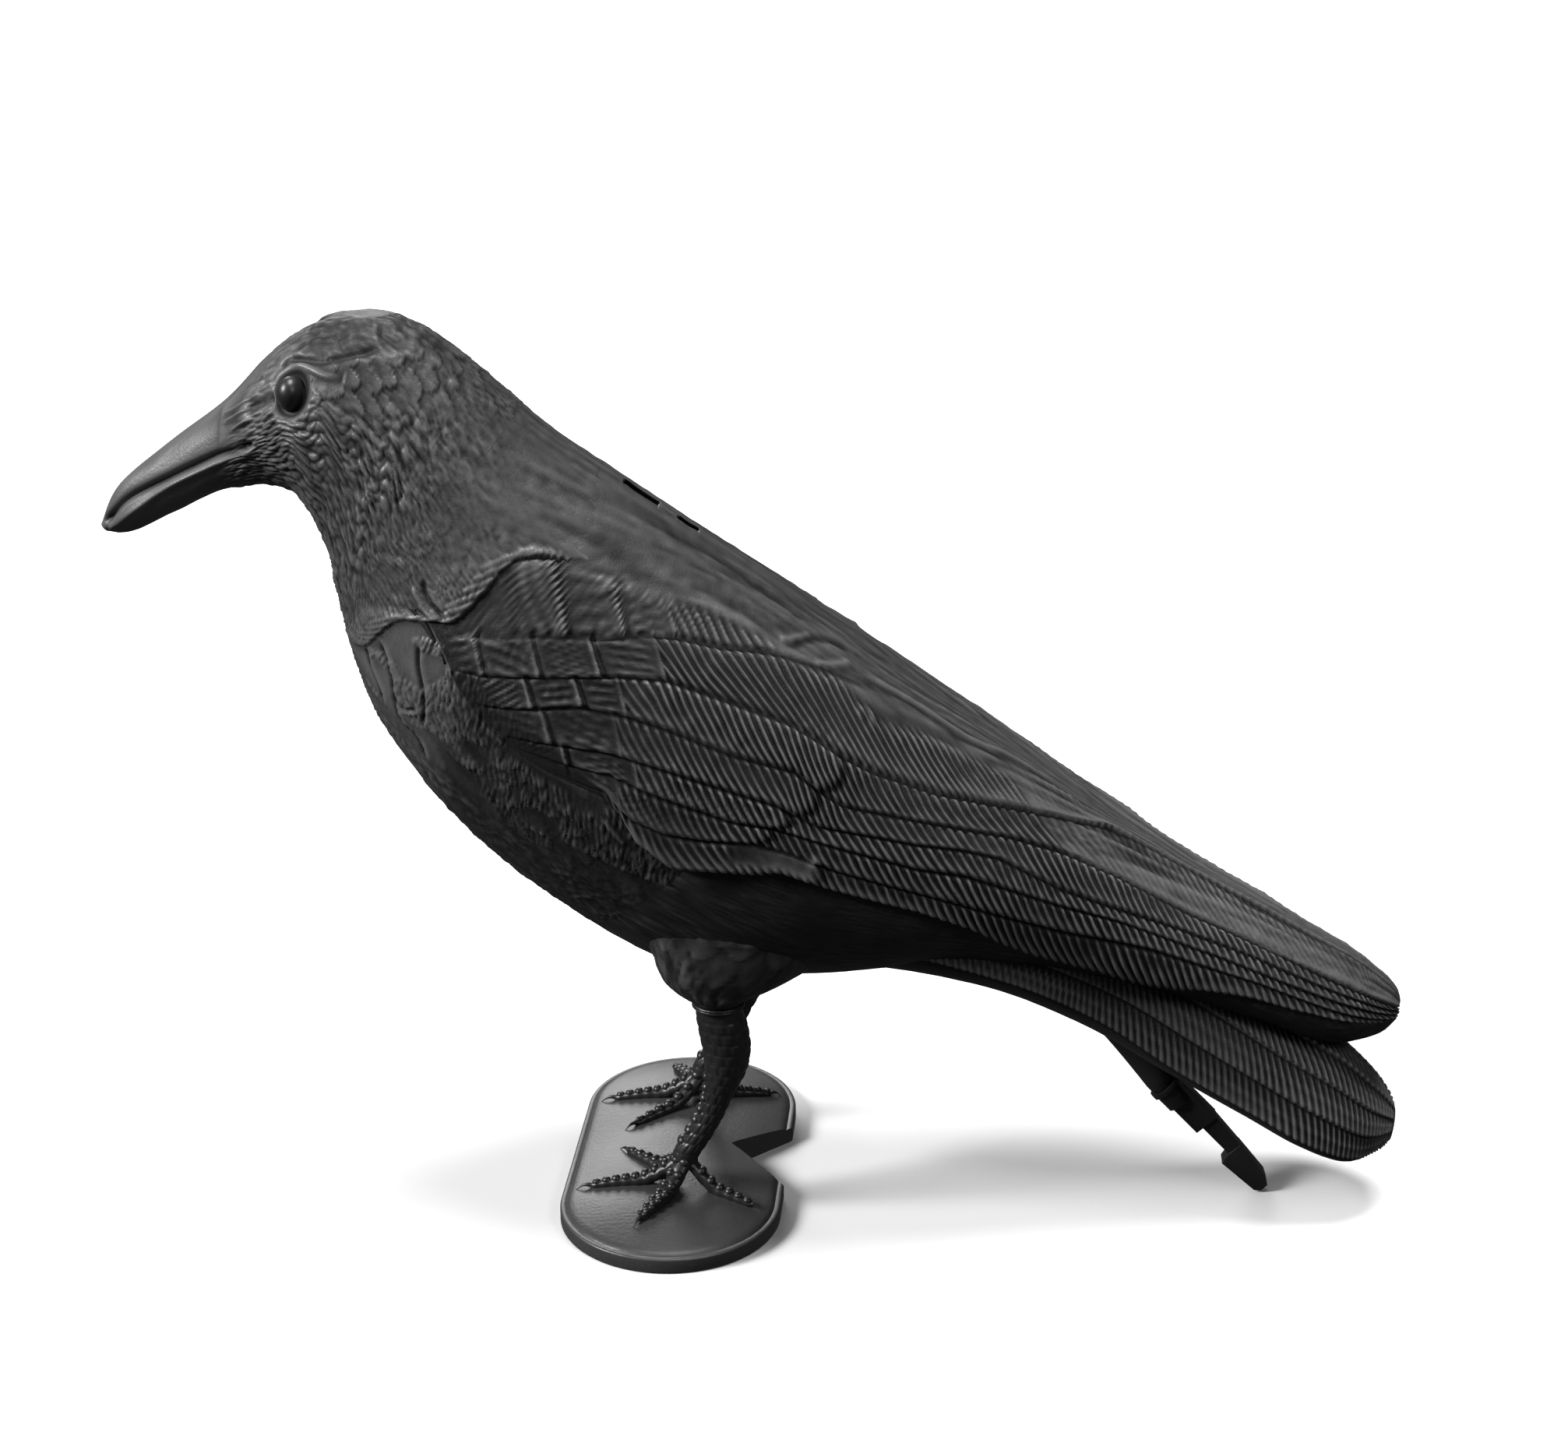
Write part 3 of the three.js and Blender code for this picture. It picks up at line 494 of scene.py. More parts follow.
# %% [markdown]
# ## Head
#
# A smooth beak with a mouth line, stiff bristles over the nostrils, a brow that is cut in two
# strokes, and a cheek of short wavy hairs. All of that is low relief on one skin, so the skin is
# displaced, and its grid is fine enough for a hair of a millimetre.
# %% Lines on the head in millimetres, to be read for both sides
GAPE = [(-171, 0.6, 212.6), (-169, 3, 215), (-161, 5, 222), (-148, 8, 229.3), (-137, 10.5, 235),
        (-131.7, 12.1, 237.7), (-126, 14.3, 239.8), (-119, 18, 243.6)]
LIP = [(-170, 1.5, 210.8), (-157, 7, 220.4), (-148, 8.4, 226.6), (-137, 10.5, 232.4),
       (-132, 12, 234.9), (-126.6, 14, 237.2), (-118, 18, 241.1)]
BROW = [(-112.5, 16.4, 263), (-108.4, 13.1, 266), (-106.3, 14.2, 266.7), (-101, 16.8, 266.8),
        (-96, 18.4, 267.3), (-89, 17.5, 268.8), (-84.8, 16.1, 269.7), (-81, 14.1, 270.4)]
BROW_LEAF = [(-106.6, 12.5, 267.7), (-104.5, 11.3, 270), (-102.3, 10.4, 271.4),
             (-99.5, 10.8, 272.5), (-95, 12.4, 273.2), (-93.9, 13.4, 272.3), (-92.6, 15.5, 270.5),
             (-91, 17.1, 269.1)]
LID = [(-112.8, 17, 259.5), (-112, 16.1, 262.1), (-110.6, 15.9, 264.3), (-107.5, 16.7, 265.7),
       (-103.4, 16.8, 265.6), (-99.7, 19.2, 264.7), (-95.8, 21.1, 263.7), (-90, 21.9, 263)]
LORE = [(-121, 14, 251.8), (-117, 16, 254.3), (-112.6, 18.6, 257)]
BRISTLE_LINES = [[(-130.1, 8.4, 248.2), (-125, 10.9, 251.3), (-120.5, 12.3, 254)],
                 [(-129.2, 10.2, 246.6), (-121.4, 14.2, 251.3)],
                 [(-126.9, 13.3, 244.9), (-120.7, 15.7, 249)]]
EYE = np.array([-107.1, 18.7, 257.9])
EYE_RADII = (4.16, 5.2, 5.2)
SOCKET, SOCKET_FORM = EYE + np.array([0.3, 1.2, 0.3]), (0.86, 1.0, 1.04)
HEAD_END, FLOW_RADIUS = 8.5, 19
# Each line with its width, its height and the share of it that fades at either end
FACE_LINES = [(GAPE, 1.15, -1.9, 0.06), (LIP, 1.0, 1.0, 0.04), (BROW, 0.95, -0.95),
              (BROW_LEAF, 0.9, -0.7), (LID, 1.2, 1.05, 0.2), (LORE, 2.0, -1.2, 0.1)]
FACE_LINES += [(line, 0.62, 1.0, 0.1) for line in BRISTLE_LINES]


def socket_gap(both):
    """Distance from the eye's socket, which is a little narrower than it is high."""
    return np.linalg.norm((both - SOCKET) / SOCKET_FORM, axis=-1)


def head_relief(points, at, turn):
    along, across = measured(points)
    both, gap = one_side(points), socket_gap(one_side(points))
    x, y, z = np.moveaxis(both, -1, 0)
    face = ease(-130, -121, x - 0.35 * (z - 243))
    upper = ease(-8, 8, z - 262 + 0.1 * (x + 100))
    rear = ease(-103, -96, x) * between(250, 258, 266, 271, z)
    flow = np.abs(turn) * FLOW_RADIUS + 0 * along
    cheek = strokes(along / 2.3, flow / 1.75 + 40, 11, width=HAIR)
    cheek += 0.3 * noise(along / 5, flow / 3, 13)
    crown = 0.4 * strokes(along / 3, flow / 1.6 + 90, 15) + 0.5 * noise(along / 7, flow / 4, 17)
    crown += 0.25 * noise(along / 2, flow / 1.5, 18)
    leaves = plumes(along / 7 + 0.3, flow / 4.2 + 30, 21, 1.5, 0.6, point=2.2, keel=0.2)
    height = (cheek * (1 - upper) + crown * upper) * (1 - 0.6 * rear) + 0.7 * leaves * rear
    height = height * face * fall(7.6, HEAD_END, at)
    height += ease(5.8, 8.0, at) * neck_feathers(along - along[-1:], across)
    height += 0.10 * (1 - face) * noise(along / 9, across / 2.2, 31)
    # The hairs keep off the eye, its lid and the lore in front of it
    bare = ridge(both, LID, 2.2, 1.0, 0.05) + ridge(both, LORE, 3.0, 1.0, 0.05)
    height = height * np.minimum(ease(7, 9.5, gap), 1 - np.minimum(1, bare))
    height += sum(ridge(both, *line) for line in FACE_LINES)
    height += 0.35 * ridge(both, LORE, 2.4, 1.0, 0.1) * strokes(along / 1.6, flow / 1.3, 19)
    nostril = between(-131.5, -130.5, -121, -117, x) * ease(-1, 1, z - 241 - 0.45 * (x + 130))
    height += 0.35 * nostril * ease(-2, 2, y - 5)
    return height - 1.3 * mound(gap - 5.4, 1.3) - 1.3 * fall(4.2, 5.4, gap)


# %% Head
HEAD_ROWS, SKIN_COLS = 290, 320
# Painted light: the head and trunk skins are painted lighter than the wings
SKIN_PAINTED_LIGHT = 0.22
BEAK_ROOT, BEAK_SHARE, SIDE_DENSITY = 4.0, 0.22, 0.2


def skin_turns(cols):
    """Angles round a slice, closer together on the sides, where feathers are seen best."""
    even = np.linspace(0, 2 * np.pi, cols + 1)
    turn = even + SIDE_DENSITY * np.sin(2 * even)
    return np.where(turn > np.pi, turn - 2 * np.pi, turn)[None, :]


at = np.interp(np.linspace(0, 1, HEAD_ROWS), [0, BEAK_SHARE, 1], [0, BEAK_ROOT, HEAD_END])[:, None]
turn = skin_turns(SKIN_COLS)
plain = skin(TRUNK, at, turn)
relief = head_relief(plain, at, turn)
both = one_side(plain)
x, y, z = np.moveaxis(both, -1, 0)
# Painted light: a painted sheen on the beak and the lip's ridge, lighter cheeks, and painted shade
# on the crown and in the eye's socket
beak, cheek = fall(-128, -120, x), between(-128, -122, -112, -98, x)
crown, socket_shade = ease(258, 268, z) * ease(-114, -98, x), fall(5.6, 8.2, socket_gap(both))
painted_light = 0.26 * beak + 0.12 * cheek - 0.5 * crown - 0.7 * socket_shade
painted_light += 0.3 * ridge(both, LIP, 1.4, 1.0, 0.05)
wear_and_shade = wear_and_shade_of(relief, SKIN_PAINTED_LIGHT + painted_light * fall(5.8, 8.0, at))
head = new_piece("head", add_tube(bmesh.new(), raised(plain, relief), wear_and_shade=wear_and_shade))

# %% [markdown]
# ## Breast and belly
#
# Behind the head the trunk carries plumes that grow towards the shoulder, where the cape's
# feathers lie over the wing with a thick corded edge. Under the wing the trunk's skin dips out
# of sight, so that two skins never fight for one place.
# %% Breast and belly
SLIT_SPANS, SLIT_ROOM = [(23, 34.6), (41.7, 48.2)], 11
TUCK = 1.6
TRUNK_SPLIT, TRUNK_END = 12.3, 21
BREAST_ROWS, BELLY_ROWS = 240, 80
# Edges of the long feathers in front of the wing
BREAST_EDGES = [
    [(-27, 76), (-21, 86), (-17, 98), (-13, 101), (-8, 95)],
    [(-15, 69), (-13, 78), (-9, 87), (-7, 94), (-6, 104)],
    [(-18, 98), (-13, 110), (-6, 112), (-2, 121)], [(-30, 84), (-27, 95), (-22, 104), (-20, 112)],
]
# Each line with its width and height: two flaps of the cape, a mark on the flank, and the edges
FRONT_LINES = [
    ([(-20, 50), (-17, 55), (-13, 57.5), (-9, 60)], 0.7, -0.9),
    ([(-22, 53), (-18, 57.5), (-14, 60), (-11, 61.5)], 0.7, 0.6),
    ([(52, 100), (61, 106)], 0.8, 0.9),
]
for line in BREAST_EDGES:
    FRONT_LINES += [(line, 0.75, -1.0), ([(along + 1.6, angle) for along, angle in line], 0.9, 0.6)]


def trunk_relief(points, start_along):
    """The trunk's relief, and the same before it dips under the wing and the cord slits."""
    along, across = measured(points)
    along = along + start_along
    below, behind = under_wing(points)
    wing_along, angle = wing_place(points)
    flush = on_back(angle)
    down, aside = along * 0.94 + across * 0.34, across * 0.94 - along * 0.34
    height = neck_feathers(along, across) * (1 - 0.6 * ease(60, 110, wing_along))
    long_ones = on_flank(angle) * fall(112, 130, angle) * ease(-2, 3, behind)
    long_ones = long_ones * fall(78, 100, wing_along)
    height = height * (1 - 0.85 * long_ones)
    height += 0.6 * long_ones * plumes(down / 19, aside / 11 + 20, 43) * ease(-8, 8, wing_along)
    height += long_ones * flank_feathers(wing_along, angle) + drawn(wing_along, angle, FRONT_LINES)
    merged = at_front(wing_along) * ease(-9, -1, below) * ease(0, 6, behind)
    height = height * (1 - merged) + flank_feathers(wing_along, angle) * merged
    shared = flush * ease(-34, -12, behind)
    height = height * (1 - shared) + back_feathers(wing_along, angle) * shared
    cape = between(-16, -1, -0.5, 0.5, behind) * (1 - flush) * fall(82, 95, angle)
    fringe = np.abs(np.sin(0.9 * wing_along + 1.1 * angle)) * ease(-6, -1, behind)
    height += cape * (0.5 + 0.5 * fringe)
    hidden = ease(0, 1.3, np.minimum(below - 1.2, behind)) * (1 - flush)
    hidden = hidden + flush * ease(0, 14, behind)
    tucked = height * (1 - hidden * (1 - flush)) - TUCK * hidden
    slit = (np.abs(points[..., 1]) < 7) * between(14, 20, 50, 56, wing_along)
    return tucked - SLIT_ROOM * slit * flush * ease(0, 5, behind), height


def trunk_skin(start, end, rows, cols):
    return skin(TRUNK, np.linspace(start, end, rows)[:, None], skin_turns(cols))


def make_trunk(name, start, end, rows, start_along):
    plain = trunk_skin(start, end, rows, SKIN_COLS)
    relief, seen = trunk_relief(plain, start_along)
    along, angle = wing_place(plain)
    front = fall(-8, 6, along) * fall(100, 115, angle)
    # Painted light on the flank in front of the wing, and painted shade on the flank behind it
    painted_light = SKIN_PAINTED_LIGHT + on_flank(angle) * (0.22 * front - 0.38 * ease(-4, 12, along))
    bm = add_tube(bmesh.new(), raised(plain, relief), wear_and_shade=wear_and_shade_of(seen, painted_light))
    return new_piece(name, bm), measured(plain)[0][-1:]


breast, breast_length = make_trunk("breast", HEAD_END, TRUNK_SPLIT, BREAST_ROWS, 0)
belly, _ = make_trunk("belly", TRUNK_SPLIT, TRUNK_END, BELLY_ROWS, breast_length)

# %% [markdown]
# ## Wings
#
# Each wing is its own skin, laid over the back from the ridge to the wing's edge and tucked under
# the cape. Its grid runs along the feather lines, with two close columns at every line, so each
# overlap is crisp. Its rows lean back as the barbs do, which keeps the fine barbs free of steps.
# %% The plain trunk as a target for rays
bm = add_tube(bmesh.new(), trunk_skin(0, TRUNK_END, 160, 96))
bmesh.ops.triangulate(bm, faces=bm.faces)
trunk_tree = BVHTree.FromBMesh(bm)
bm.free()

TIP_ALONG, FULL_TILT = 285, 30
RAY_STEP, ANGLE_STEP = 5, 5
FIRST_ALONG, FIRST_ANGLE, LAST_ANGLE = -40, -15, 135
LEAST_RADIUS = 5.0


def wing_ray(along, angle):
    """Where a ray of the wing's frame starts, and its way. Near the wing's tip it tilts back."""
    along, angle = np.broadcast_arrays(along, np.radians(angle))
    tilt = np.clip((along - TIP_ALONG) / FULL_TILT, 0, 1)[..., None] * np.pi / 2
    start = AXIS_START + np.minimum(along, TIP_ALONG)[..., None] * AXIS
    level = np.cos(angle)[..., None] * ABOVE - np.sin(angle)[..., None] * np.array([0.0, 1.0, 0.0])
    return start, np.cos(tilt) * level + np.sin(tilt) * AXIS


def radius_table():
    along = np.arange(FIRST_ALONG, TIP_ALONG + FULL_TILT + 1, RAY_STEP, dtype=float)
    angle = np.arange(FIRST_ANGLE, LAST_ANGLE, ANGLE_STEP, dtype=float)
    start, way = wing_ray(along[:, None], angle[None, :])
    table = np.full(start.shape[:2], LEAST_RADIUS)
    for i, j in np.ndindex(*table.shape):
        hit = trunk_tree.ray_cast(Vector(start[i, j] * MM), Vector(way[i, j]))
        if hit[0] is not None:
            table[i, j] = hit[3] / MM
    return table


RADII = radius_table()


def cubic(w):
    return [(-w ** 3 + 2 * w * w - w) / 2, (3 * w ** 3 - 5 * w * w + 2) / 2,
            (-3 * w ** 3 + 4 * w * w + w) / 2, (w ** 3 - w * w) / 2]


def radius_at(along, angle):
    i, j = (along - FIRST_ALONG) / RAY_STEP, (angle - FIRST_ANGLE) / ANGLE_STEP
    i0, j0 = np.floor(i).astype(int), np.floor(j).astype(int)
    total = 0
    for m, wm in enumerate(cubic(i - i0)):
        for n, wn in enumerate(cubic(j - j0)):
            row = np.clip(i0 - 1 + m, 0, RADII.shape[0] - 1)
            col = np.clip(j0 - 1 + n, 0, RADII.shape[1] - 1)
            total = total + wm * wn * RADII[row, col]
    return total


print("radius from the wing's axis", RADII.min().round(1), "to", RADII.max().round(1), "mm")

# %% The wing's relief
STRIP_COLS, LAST_STRIP = [26, 13, 13, 11, 8, 8, 10], 6
WING_ROWS = 880
LINE_GAP, RIDGE_GAP = 0.022, 0.03
BARB_PITCH, COVERT_SLOPE = 3.0, 0.6
COVERT_EDGES = [[9, 26, 41], [3, 18, 34, 51], [4, 20, 33, 45], [11, 28, 48], [18, 36, 57],
                [22, 38, 54], [28, 42]]
FIRST_COVERT = 15
SECONDARY_TIPS = np.array([400, 400, 111, 107, 102, 98, 116, 116])
BARB_LIMIT = [(0, 34), (33, 33), (48, 31), (61, 28), (79, 28.5), (89, 32), (100, 28), (106, 30),
              (111, 35), (119, 37), (132, 32), (160, 30), (169, 40), (183, 53), (202, 55),
              (225, 59), (265, 64), (320, 70)]
# Lines drawn on the back, with their width and height
BACK_LINES = [
    ([(28, 32), (48, 30), (61, 27), (79, 27)], 1.5, 0.6),
    ([(93, 29), (99, 24), (104, 19)], 1.3, 0.6), ([(81, 27), (87, 21), (90, 17)], 1.3, 0.6),
    ([(85, 27), (90, 19), (96, 15), (104, 13)], 1.4, -0.55),
    ([(107, 21), (127, 19), (145, 21), (159, 16), (180, 12)], 1.5, 0.6),
    ([(104, 23), (126, 22), (145, 24), (160, 19)], 1.5, -0.45),
    ([(109, 14), (129, 12), (150, 9)], 1.6, 0.4), ([(140, 27), (160, 24), (185, 16)], 1.4, 0.45),
    ([(150, 30), (185, 25), (220, 20), (262, 15)], 1.8, 0.75),
    ([(172, 38), (205, 33), (240, 29), (275, 25)], 1.6, 0.55),
    ([(192, 47), (225, 43), (268, 38)], 1.6, 0.5), ([(190, 12), (225, 9), (262, 7)], 1.6, 0.5),
]
RING, RING_RADIUS = (112, 37), 2.3
LENS_CORNER = (113, 91)
MERGED_WIDTH = 15


def lane_edges(lane, along):
    """The strip between two feather lines in which a lane lies, and the angles of both lines."""
    levels = np.stack([0 * along] + [line_at(line, along) for line in FEATHER_LINES + [WING_EDGE]])
    strip = np.minimum(np.floor(lane).astype(int), LAST_STRIP) + np.zeros(along.shape, dtype=int)
    upper, lower = (np.take_along_axis(levels, strip[None] + k, axis=0)[0] for k in (0, 1))
    return strip, upper, lower


def covert_relief(along, strip, tau, width, across):
    """Blunt cells in rows, each with a raised rear edge, and 1 where they lie."""
    leant = along - (tau - 0.5) * width * COVERT_SLOPE
    height, here = 0 * along, 0 * along
    for number, edges in enumerate(COVERT_EDGES):
        stops = np.array([edges[0] - FIRST_COVERT] + edges, dtype=float)
        index = np.clip(np.searchsorted(stops, leant) - 1, 0, len(edges) - 1)
        begin, end = stops[index], stops[index + 1]
        reach = np.clip((leant - begin) / (end - begin), 0, 1)
        chance = hashed(index, 0 * index + number, 71)
        cell = 0.3 * reach ** 2 + 0.75 * mound(leant - end + 0.5, 0.6) * (0.45 + 0.55 * chance)
        cell -= 0.45 * mound(leant - begin - 0.9, 0.8)
        lines = np.cos(2 * np.pi * (along * (chance - 0.2) + 0.8 * across) / 1.9)
        cell += 0.3 * lines * between(0.1, 0.35, 0.75, 0.9, reach)
        cell += 0.15 * noise(along / 1.4, across / 1.1, 79)
        height = np.where(strip == number, cell, height)
        here = np.where(strip == number, fall(-0.4, 0.4, leant - edges[-1]), here)
    return height, here


def wing_relief(points, along, angle, lane, radius):
    """Height over the trunk. lane counts the feather lines, from the ridge, 0, to the edge, 7."""
    strip, upper, lower = lane_edges(lane, along)
    tau = lane - strip
    width, across = np.radians(lower - upper) * radius, np.radians(angle) * radius
    below, behind = under_wing(points)
    flush = on_back(angle)
    # The wing's swell, and each feather as a tile that rises to its lower edge
    height = 2.1 * between(-34, 45, 235, 305, along) * ease(0, 1.2, lane)
    height = height * ease(0, 16 + 20 * flush, behind)
    height = height * (1 - 0.85 * ease(3.5, 7, lane) * fall(15, 60, along))
    step = np.where(strip == 1, 0.6 + 0.6 * ease(130, 165, along), 0.6)
    step = np.where(strip == 0, 0.6 * fall(85, 110, along), step)
    step = step * (1 - 0.35 * ease(200, 290, along)) * ease(0, 12, behind)
    height += step * tau ** np.where(strip == 0, 4.0, 2.0)
    groove = 0.75 * mound(tau * width, 0.7) * (strip > 0) * ease(1, 5, behind)
    height -= groove * np.where(strip == 1, 1 - between(98, 112, 160, 175, along), 1)
    # Shorter feathers lie over the long ones' roots
    past_tip = along - SECONDARY_TIPS[strip] + 4 * np.abs(2 * tau - 0.9) ** 2
    layer = 0.7 * fall(-0.5, 0.6, past_tip) * (strip > 1) * ease(40, 100, along) ** 0.5
    layer -= 0.5 * mound(past_tip - 1.2, 0.9) * (strip > 1) * (strip < LAST_STRIP)
    # Barbs lean back from each feather's upper edge
    lag = np.where(strip == 0, 0.8 * (tau - 1) * width, width * (0.7 * tau + 0.35 * tau ** 2))
    count = (along - lag) / BARB_PITCH + strip * 0.37 + 0.12 * noise(along / 9, across / 7, 62)
    vary = 0.8 + 0.3 * noise(along / 18, across / 9, 61) + 0.15 * noise(along / 3, across / 5, 63)
    lens = (strip == LAST_STRIP) * between(86, 92, 113, 116, along) * fall(0.6, 0.75, tau)
    past_limit = angle - line_at(BARB_LIMIT, along)
    allowed = ease(-1, 4, past_limit) * ease(0.02, 0.1, tau) * (1 - 0.4 * ease(0.93, 1, tau))
    allowed = np.maximum(allowed * (1 - lens), 0.3 * ease(150, 185, along) * ease(11, 22, angle))
    allowed = allowed * (1 - 0.4 * ease(220, 290, along))
    barbs = 1.15 * (0.5 + 0.5 * np.cos(2 * np.pi * count)) ** 1.5 * vary * allowed
    cell, covert = covert_relief(along, strip, tau, width, across)
    covert = covert * ease(32, 36, angle)
    height += (layer + barbs) * (1 - covert) + covert * cell * ease(0, 3, behind) + 0.5 * lens
    back = fall(0, 5, past_limit)
    height += back * back_feathers(along, angle) * (1 - (1 - flush) * fall(0, 6, behind))
    height += 0.12 * (1 - back) * noise(along / 2.4, across / 1.8, 77)
    height += drawn(along, angle, BACK_LINES)
    height += 0.8 * mound(np.hypot(along - RING[0], angle - RING[1]) - RING_RADIUS, 0.6)
    height += mound(np.hypot(along - LENS_CORNER[0], angle - LENS_CORNER[1]), 1.6)
    # In front it dips under the cape, and below it runs out into the flank
    front = flush * ease(-6, 0, behind) + (1 - flush) * ease(-3, 0.3, behind)
    height = height * (flush + (1 - flush) * front) - TUCK * (1 - front)
    merged = at_front(along)
    faded = fall(0.6, 1.0 + MERGED_WIDTH * merged, below)
    height = height * (1 - faded) + merged * faded * flank_feathers(along, angle)
    return height - 0.7 * fall(0, 1.2, below)


# %% The two wings
RIDGE_LANES = [0, 0.5, 1, 1.12, 2.5]
TUCK_COLS = 8
LEAN = 1.05
WING_DEPTH, SLIT_DEPTH, SLIT_HALF = 10, 8, 2.2
lanes = [RIDGE_GAP * np.array(RIDGE_LANES[:-1])]
for strip, cols in enumerate(STRIP_COLS):
    first = strip + LINE_GAP if strip else RIDGE_GAP * RIDGE_LANES[-1]
    lanes.append(np.linspace(first, strip + 1 - (LINE_GAP if strip < LAST_STRIP else 0), cols))
lanes = np.concatenate(lanes)


def angle_on(lane, along):
    strip, upper, lower = lane_edges(lane, along)
    return upper + (lower - upper) * (lane - strip)


def wing_grid():
    lane = lanes[None, :]
    front = np.zeros_like(lane)
    for _ in range(12):
        front = 0.5 * front + 0.5 * (line_on(CAPE_EDGE, angle_on(lane, front)) - 8)
    for _ in range(60):
        front[:, 1:-1] = (front[:, :-2] + front[:, 1:-1] + front[:, 2:]) / 3
    front -= 2
    q = np.linspace(0, 1, WING_ROWS)[:, None]
    lean = LEAN * np.radians(angle_on(lane, 0 * lane + 100)) * 50
    lean = (lean - lean.mean()) * ease(0, 0.36, q) * (1 - ease(0.62, 1, q))
    along = front + (TIP_ALONG + FULL_TILT - front) * q + lean
    lane = lane + np.zeros_like(along)
    return along, lane, angle_on(lane, along)


def slit_at(along, blur):
    """1 where a cord slit lies along the axis, with ends that fall over twice the blur."""
    return sum(between(a - blur, a + blur, b - blur, b + blur, along) for a, b in SLIT_SPANS)


def make_wing(name, side):
    along, lane, angle = wing_grid()
    radius = radius_at(along, angle)
    start, way = wing_ray(along, angle)
    plain = start + way * radius[..., None]
    height = wing_relief(plain, along, angle, lane, radius)
    back = fall(-2, 5, angle - line_at(BARB_LIMIT, along))
    back = back * (1 - ease(30, 36, angle) * fall(120, 180, along))
    lower_front = at_front(along) * fall(2, MERGED_WIDTH, under_wing(plain)[0])
    # Painted light: the back lighter, and lighter towards the tail; the wing darker, with painted
    # shade on the coverts and where the wing's front runs into the flank
    painted_light = 0.42 * back - 0.23 + 0.1 * ease(110, 180, along) - 0.3 * lower_front
    wear_and_shade = wear_and_shade_of(height, painted_light - 0.15 * fall(30, 60, along) * ease(32, 36, angle))
    height -= SLIT_DEPTH * slit_at(along, 0.3) * (lane < 1.05 * RIDGE_GAP)
    outer = raised(plain, height, closed=False)
    outer[:, 0, 1] = 0
    # The inner side runs back from the wing's edge to the ridge, inside the trunk
    share = np.linspace(1, 0, TUCK_COLS)
    inner_along = along[:, :1] + (along[:, -1:] - along[:, :1]) * share
    inner_angle = angle[:, -1:] * share
    start, way = wing_ray(inner_along, inner_angle)
    radius = radius_at(inner_along, inner_angle)
    inner = start + way * np.maximum(0.3 * radius, radius - WING_DEPTH)[..., None]
    inner[:, -1, 1] = 0
    ring = np.concatenate([outer, inner, outer[:, :1]], axis=1)
    ring[..., 1] *= side
    wear_and_shade = np.concatenate([wear_and_shade, np.full((WING_ROWS, TUCK_COLS), EVEN_WEAR_AND_SHADE), wear_and_shade[:, :1]], axis=1)
    return new_piece(name, add_tube(bmesh.new(), ring, creases=[0, outer.shape[1] - 1], wear_and_shade=wear_and_shade))


left_wing = make_wing("left_wing", 1)
right_wing = make_wing("right_wing", -1)

# %% [markdown]
# ## Tail
#
# The tail is a closed fan: a roof of feathers that fall away from one middle feather, each a step
# lower than the last, with barbs that sweep back. The lump below it holds the clip.
# %% Tail and its boss
TAIL_BANDS, TAIL_STEP, TAIL_BARB = 4, 0.76, 2.8
TAIL_ROWS, BAND_COLS, UNDER_COLS, TAIL_END = 330, 12, 20, 8


def tail_relief(points, turn):
    along, across = measured(points)
    share = np.minimum(np.abs(turn) / (np.pi / 2), 0.999)
    band = np.floor(share * TAIL_BANDS)
    tau = share * TAIL_BANDS - band
    crest = 0.5 + 0.5 * np.cos(2 * np.pi * ((along - 1.2 * across) / TAIL_BARB + 0.4 * band))
    barbs = 0.8 * crest ** 1.6 * ease(0, 0.15, tau)
    barbs = barbs * (0.8 + 0.3 * noise(along / 20, across / 6, 79))
    above = TAIL_STEP * tau ** 1.3 + barbs + 0.25 * mound(tau - 0.5, 0.07)
    return np.where(np.abs(turn) <= np.pi / 2, above, 0.18 * strokes(along / 16, across / 4, 83))


at = np.linspace(0.0, TAIL_END, TAIL_ROWS)[:, None]
half = [(k + np.linspace(0.02, 0.98, BAND_COLS)) / TAIL_BANDS for k in range(TAIL_BANDS)]
below = np.linspace(np.pi / 2 + 0.02, np.pi, UNDER_COLS)
quarter = np.concatenate([[0], np.concatenate(half) * np.pi / 2, below])
turn = np.concatenate([quarter, -quarter[-2::-1]])[None, :]
plain = skin(TAIL, at, turn)
relief = tail_relief(plain, turn) * fall(7.6, TAIL_END, at)
bm = add_tube(bmesh.new(), raised(plain, relief), wear_and_shade=wear_and_shade_of(relief, 0.1))
BOSS_ROOT, CLIP_SEAT, CLIP_SLOPE = place(34.2, -1.6), place(38.6, -9.5), -0.8
BOSS_ROOT_RADIUS, BOSS_FACE_RADIUS, BOSS_SWELL = part(3), 4.9, 0.7
share, turn = np.linspace(0, 1, 24)[:, None], full_turn(40)
radius = BOSS_ROOT_RADIUS + (BOSS_FACE_RADIUS - BOSS_ROOT_RADIUS) * share ** BOSS_SWELL
radius = radius - 0.5 * ease(0.93, 1, share)
x, z = (root + (seat - root) * share + tilt * radius * np.cos(turn) for root, seat, tilt
        in zip(BOSS_ROOT, CLIP_SEAT, (-math.sin(CLIP_SLOPE), math.cos(CLIP_SLOPE))))
tail = new_piece("tail", add_tube(bm, grid(x, radius * np.sin(turn), z)))

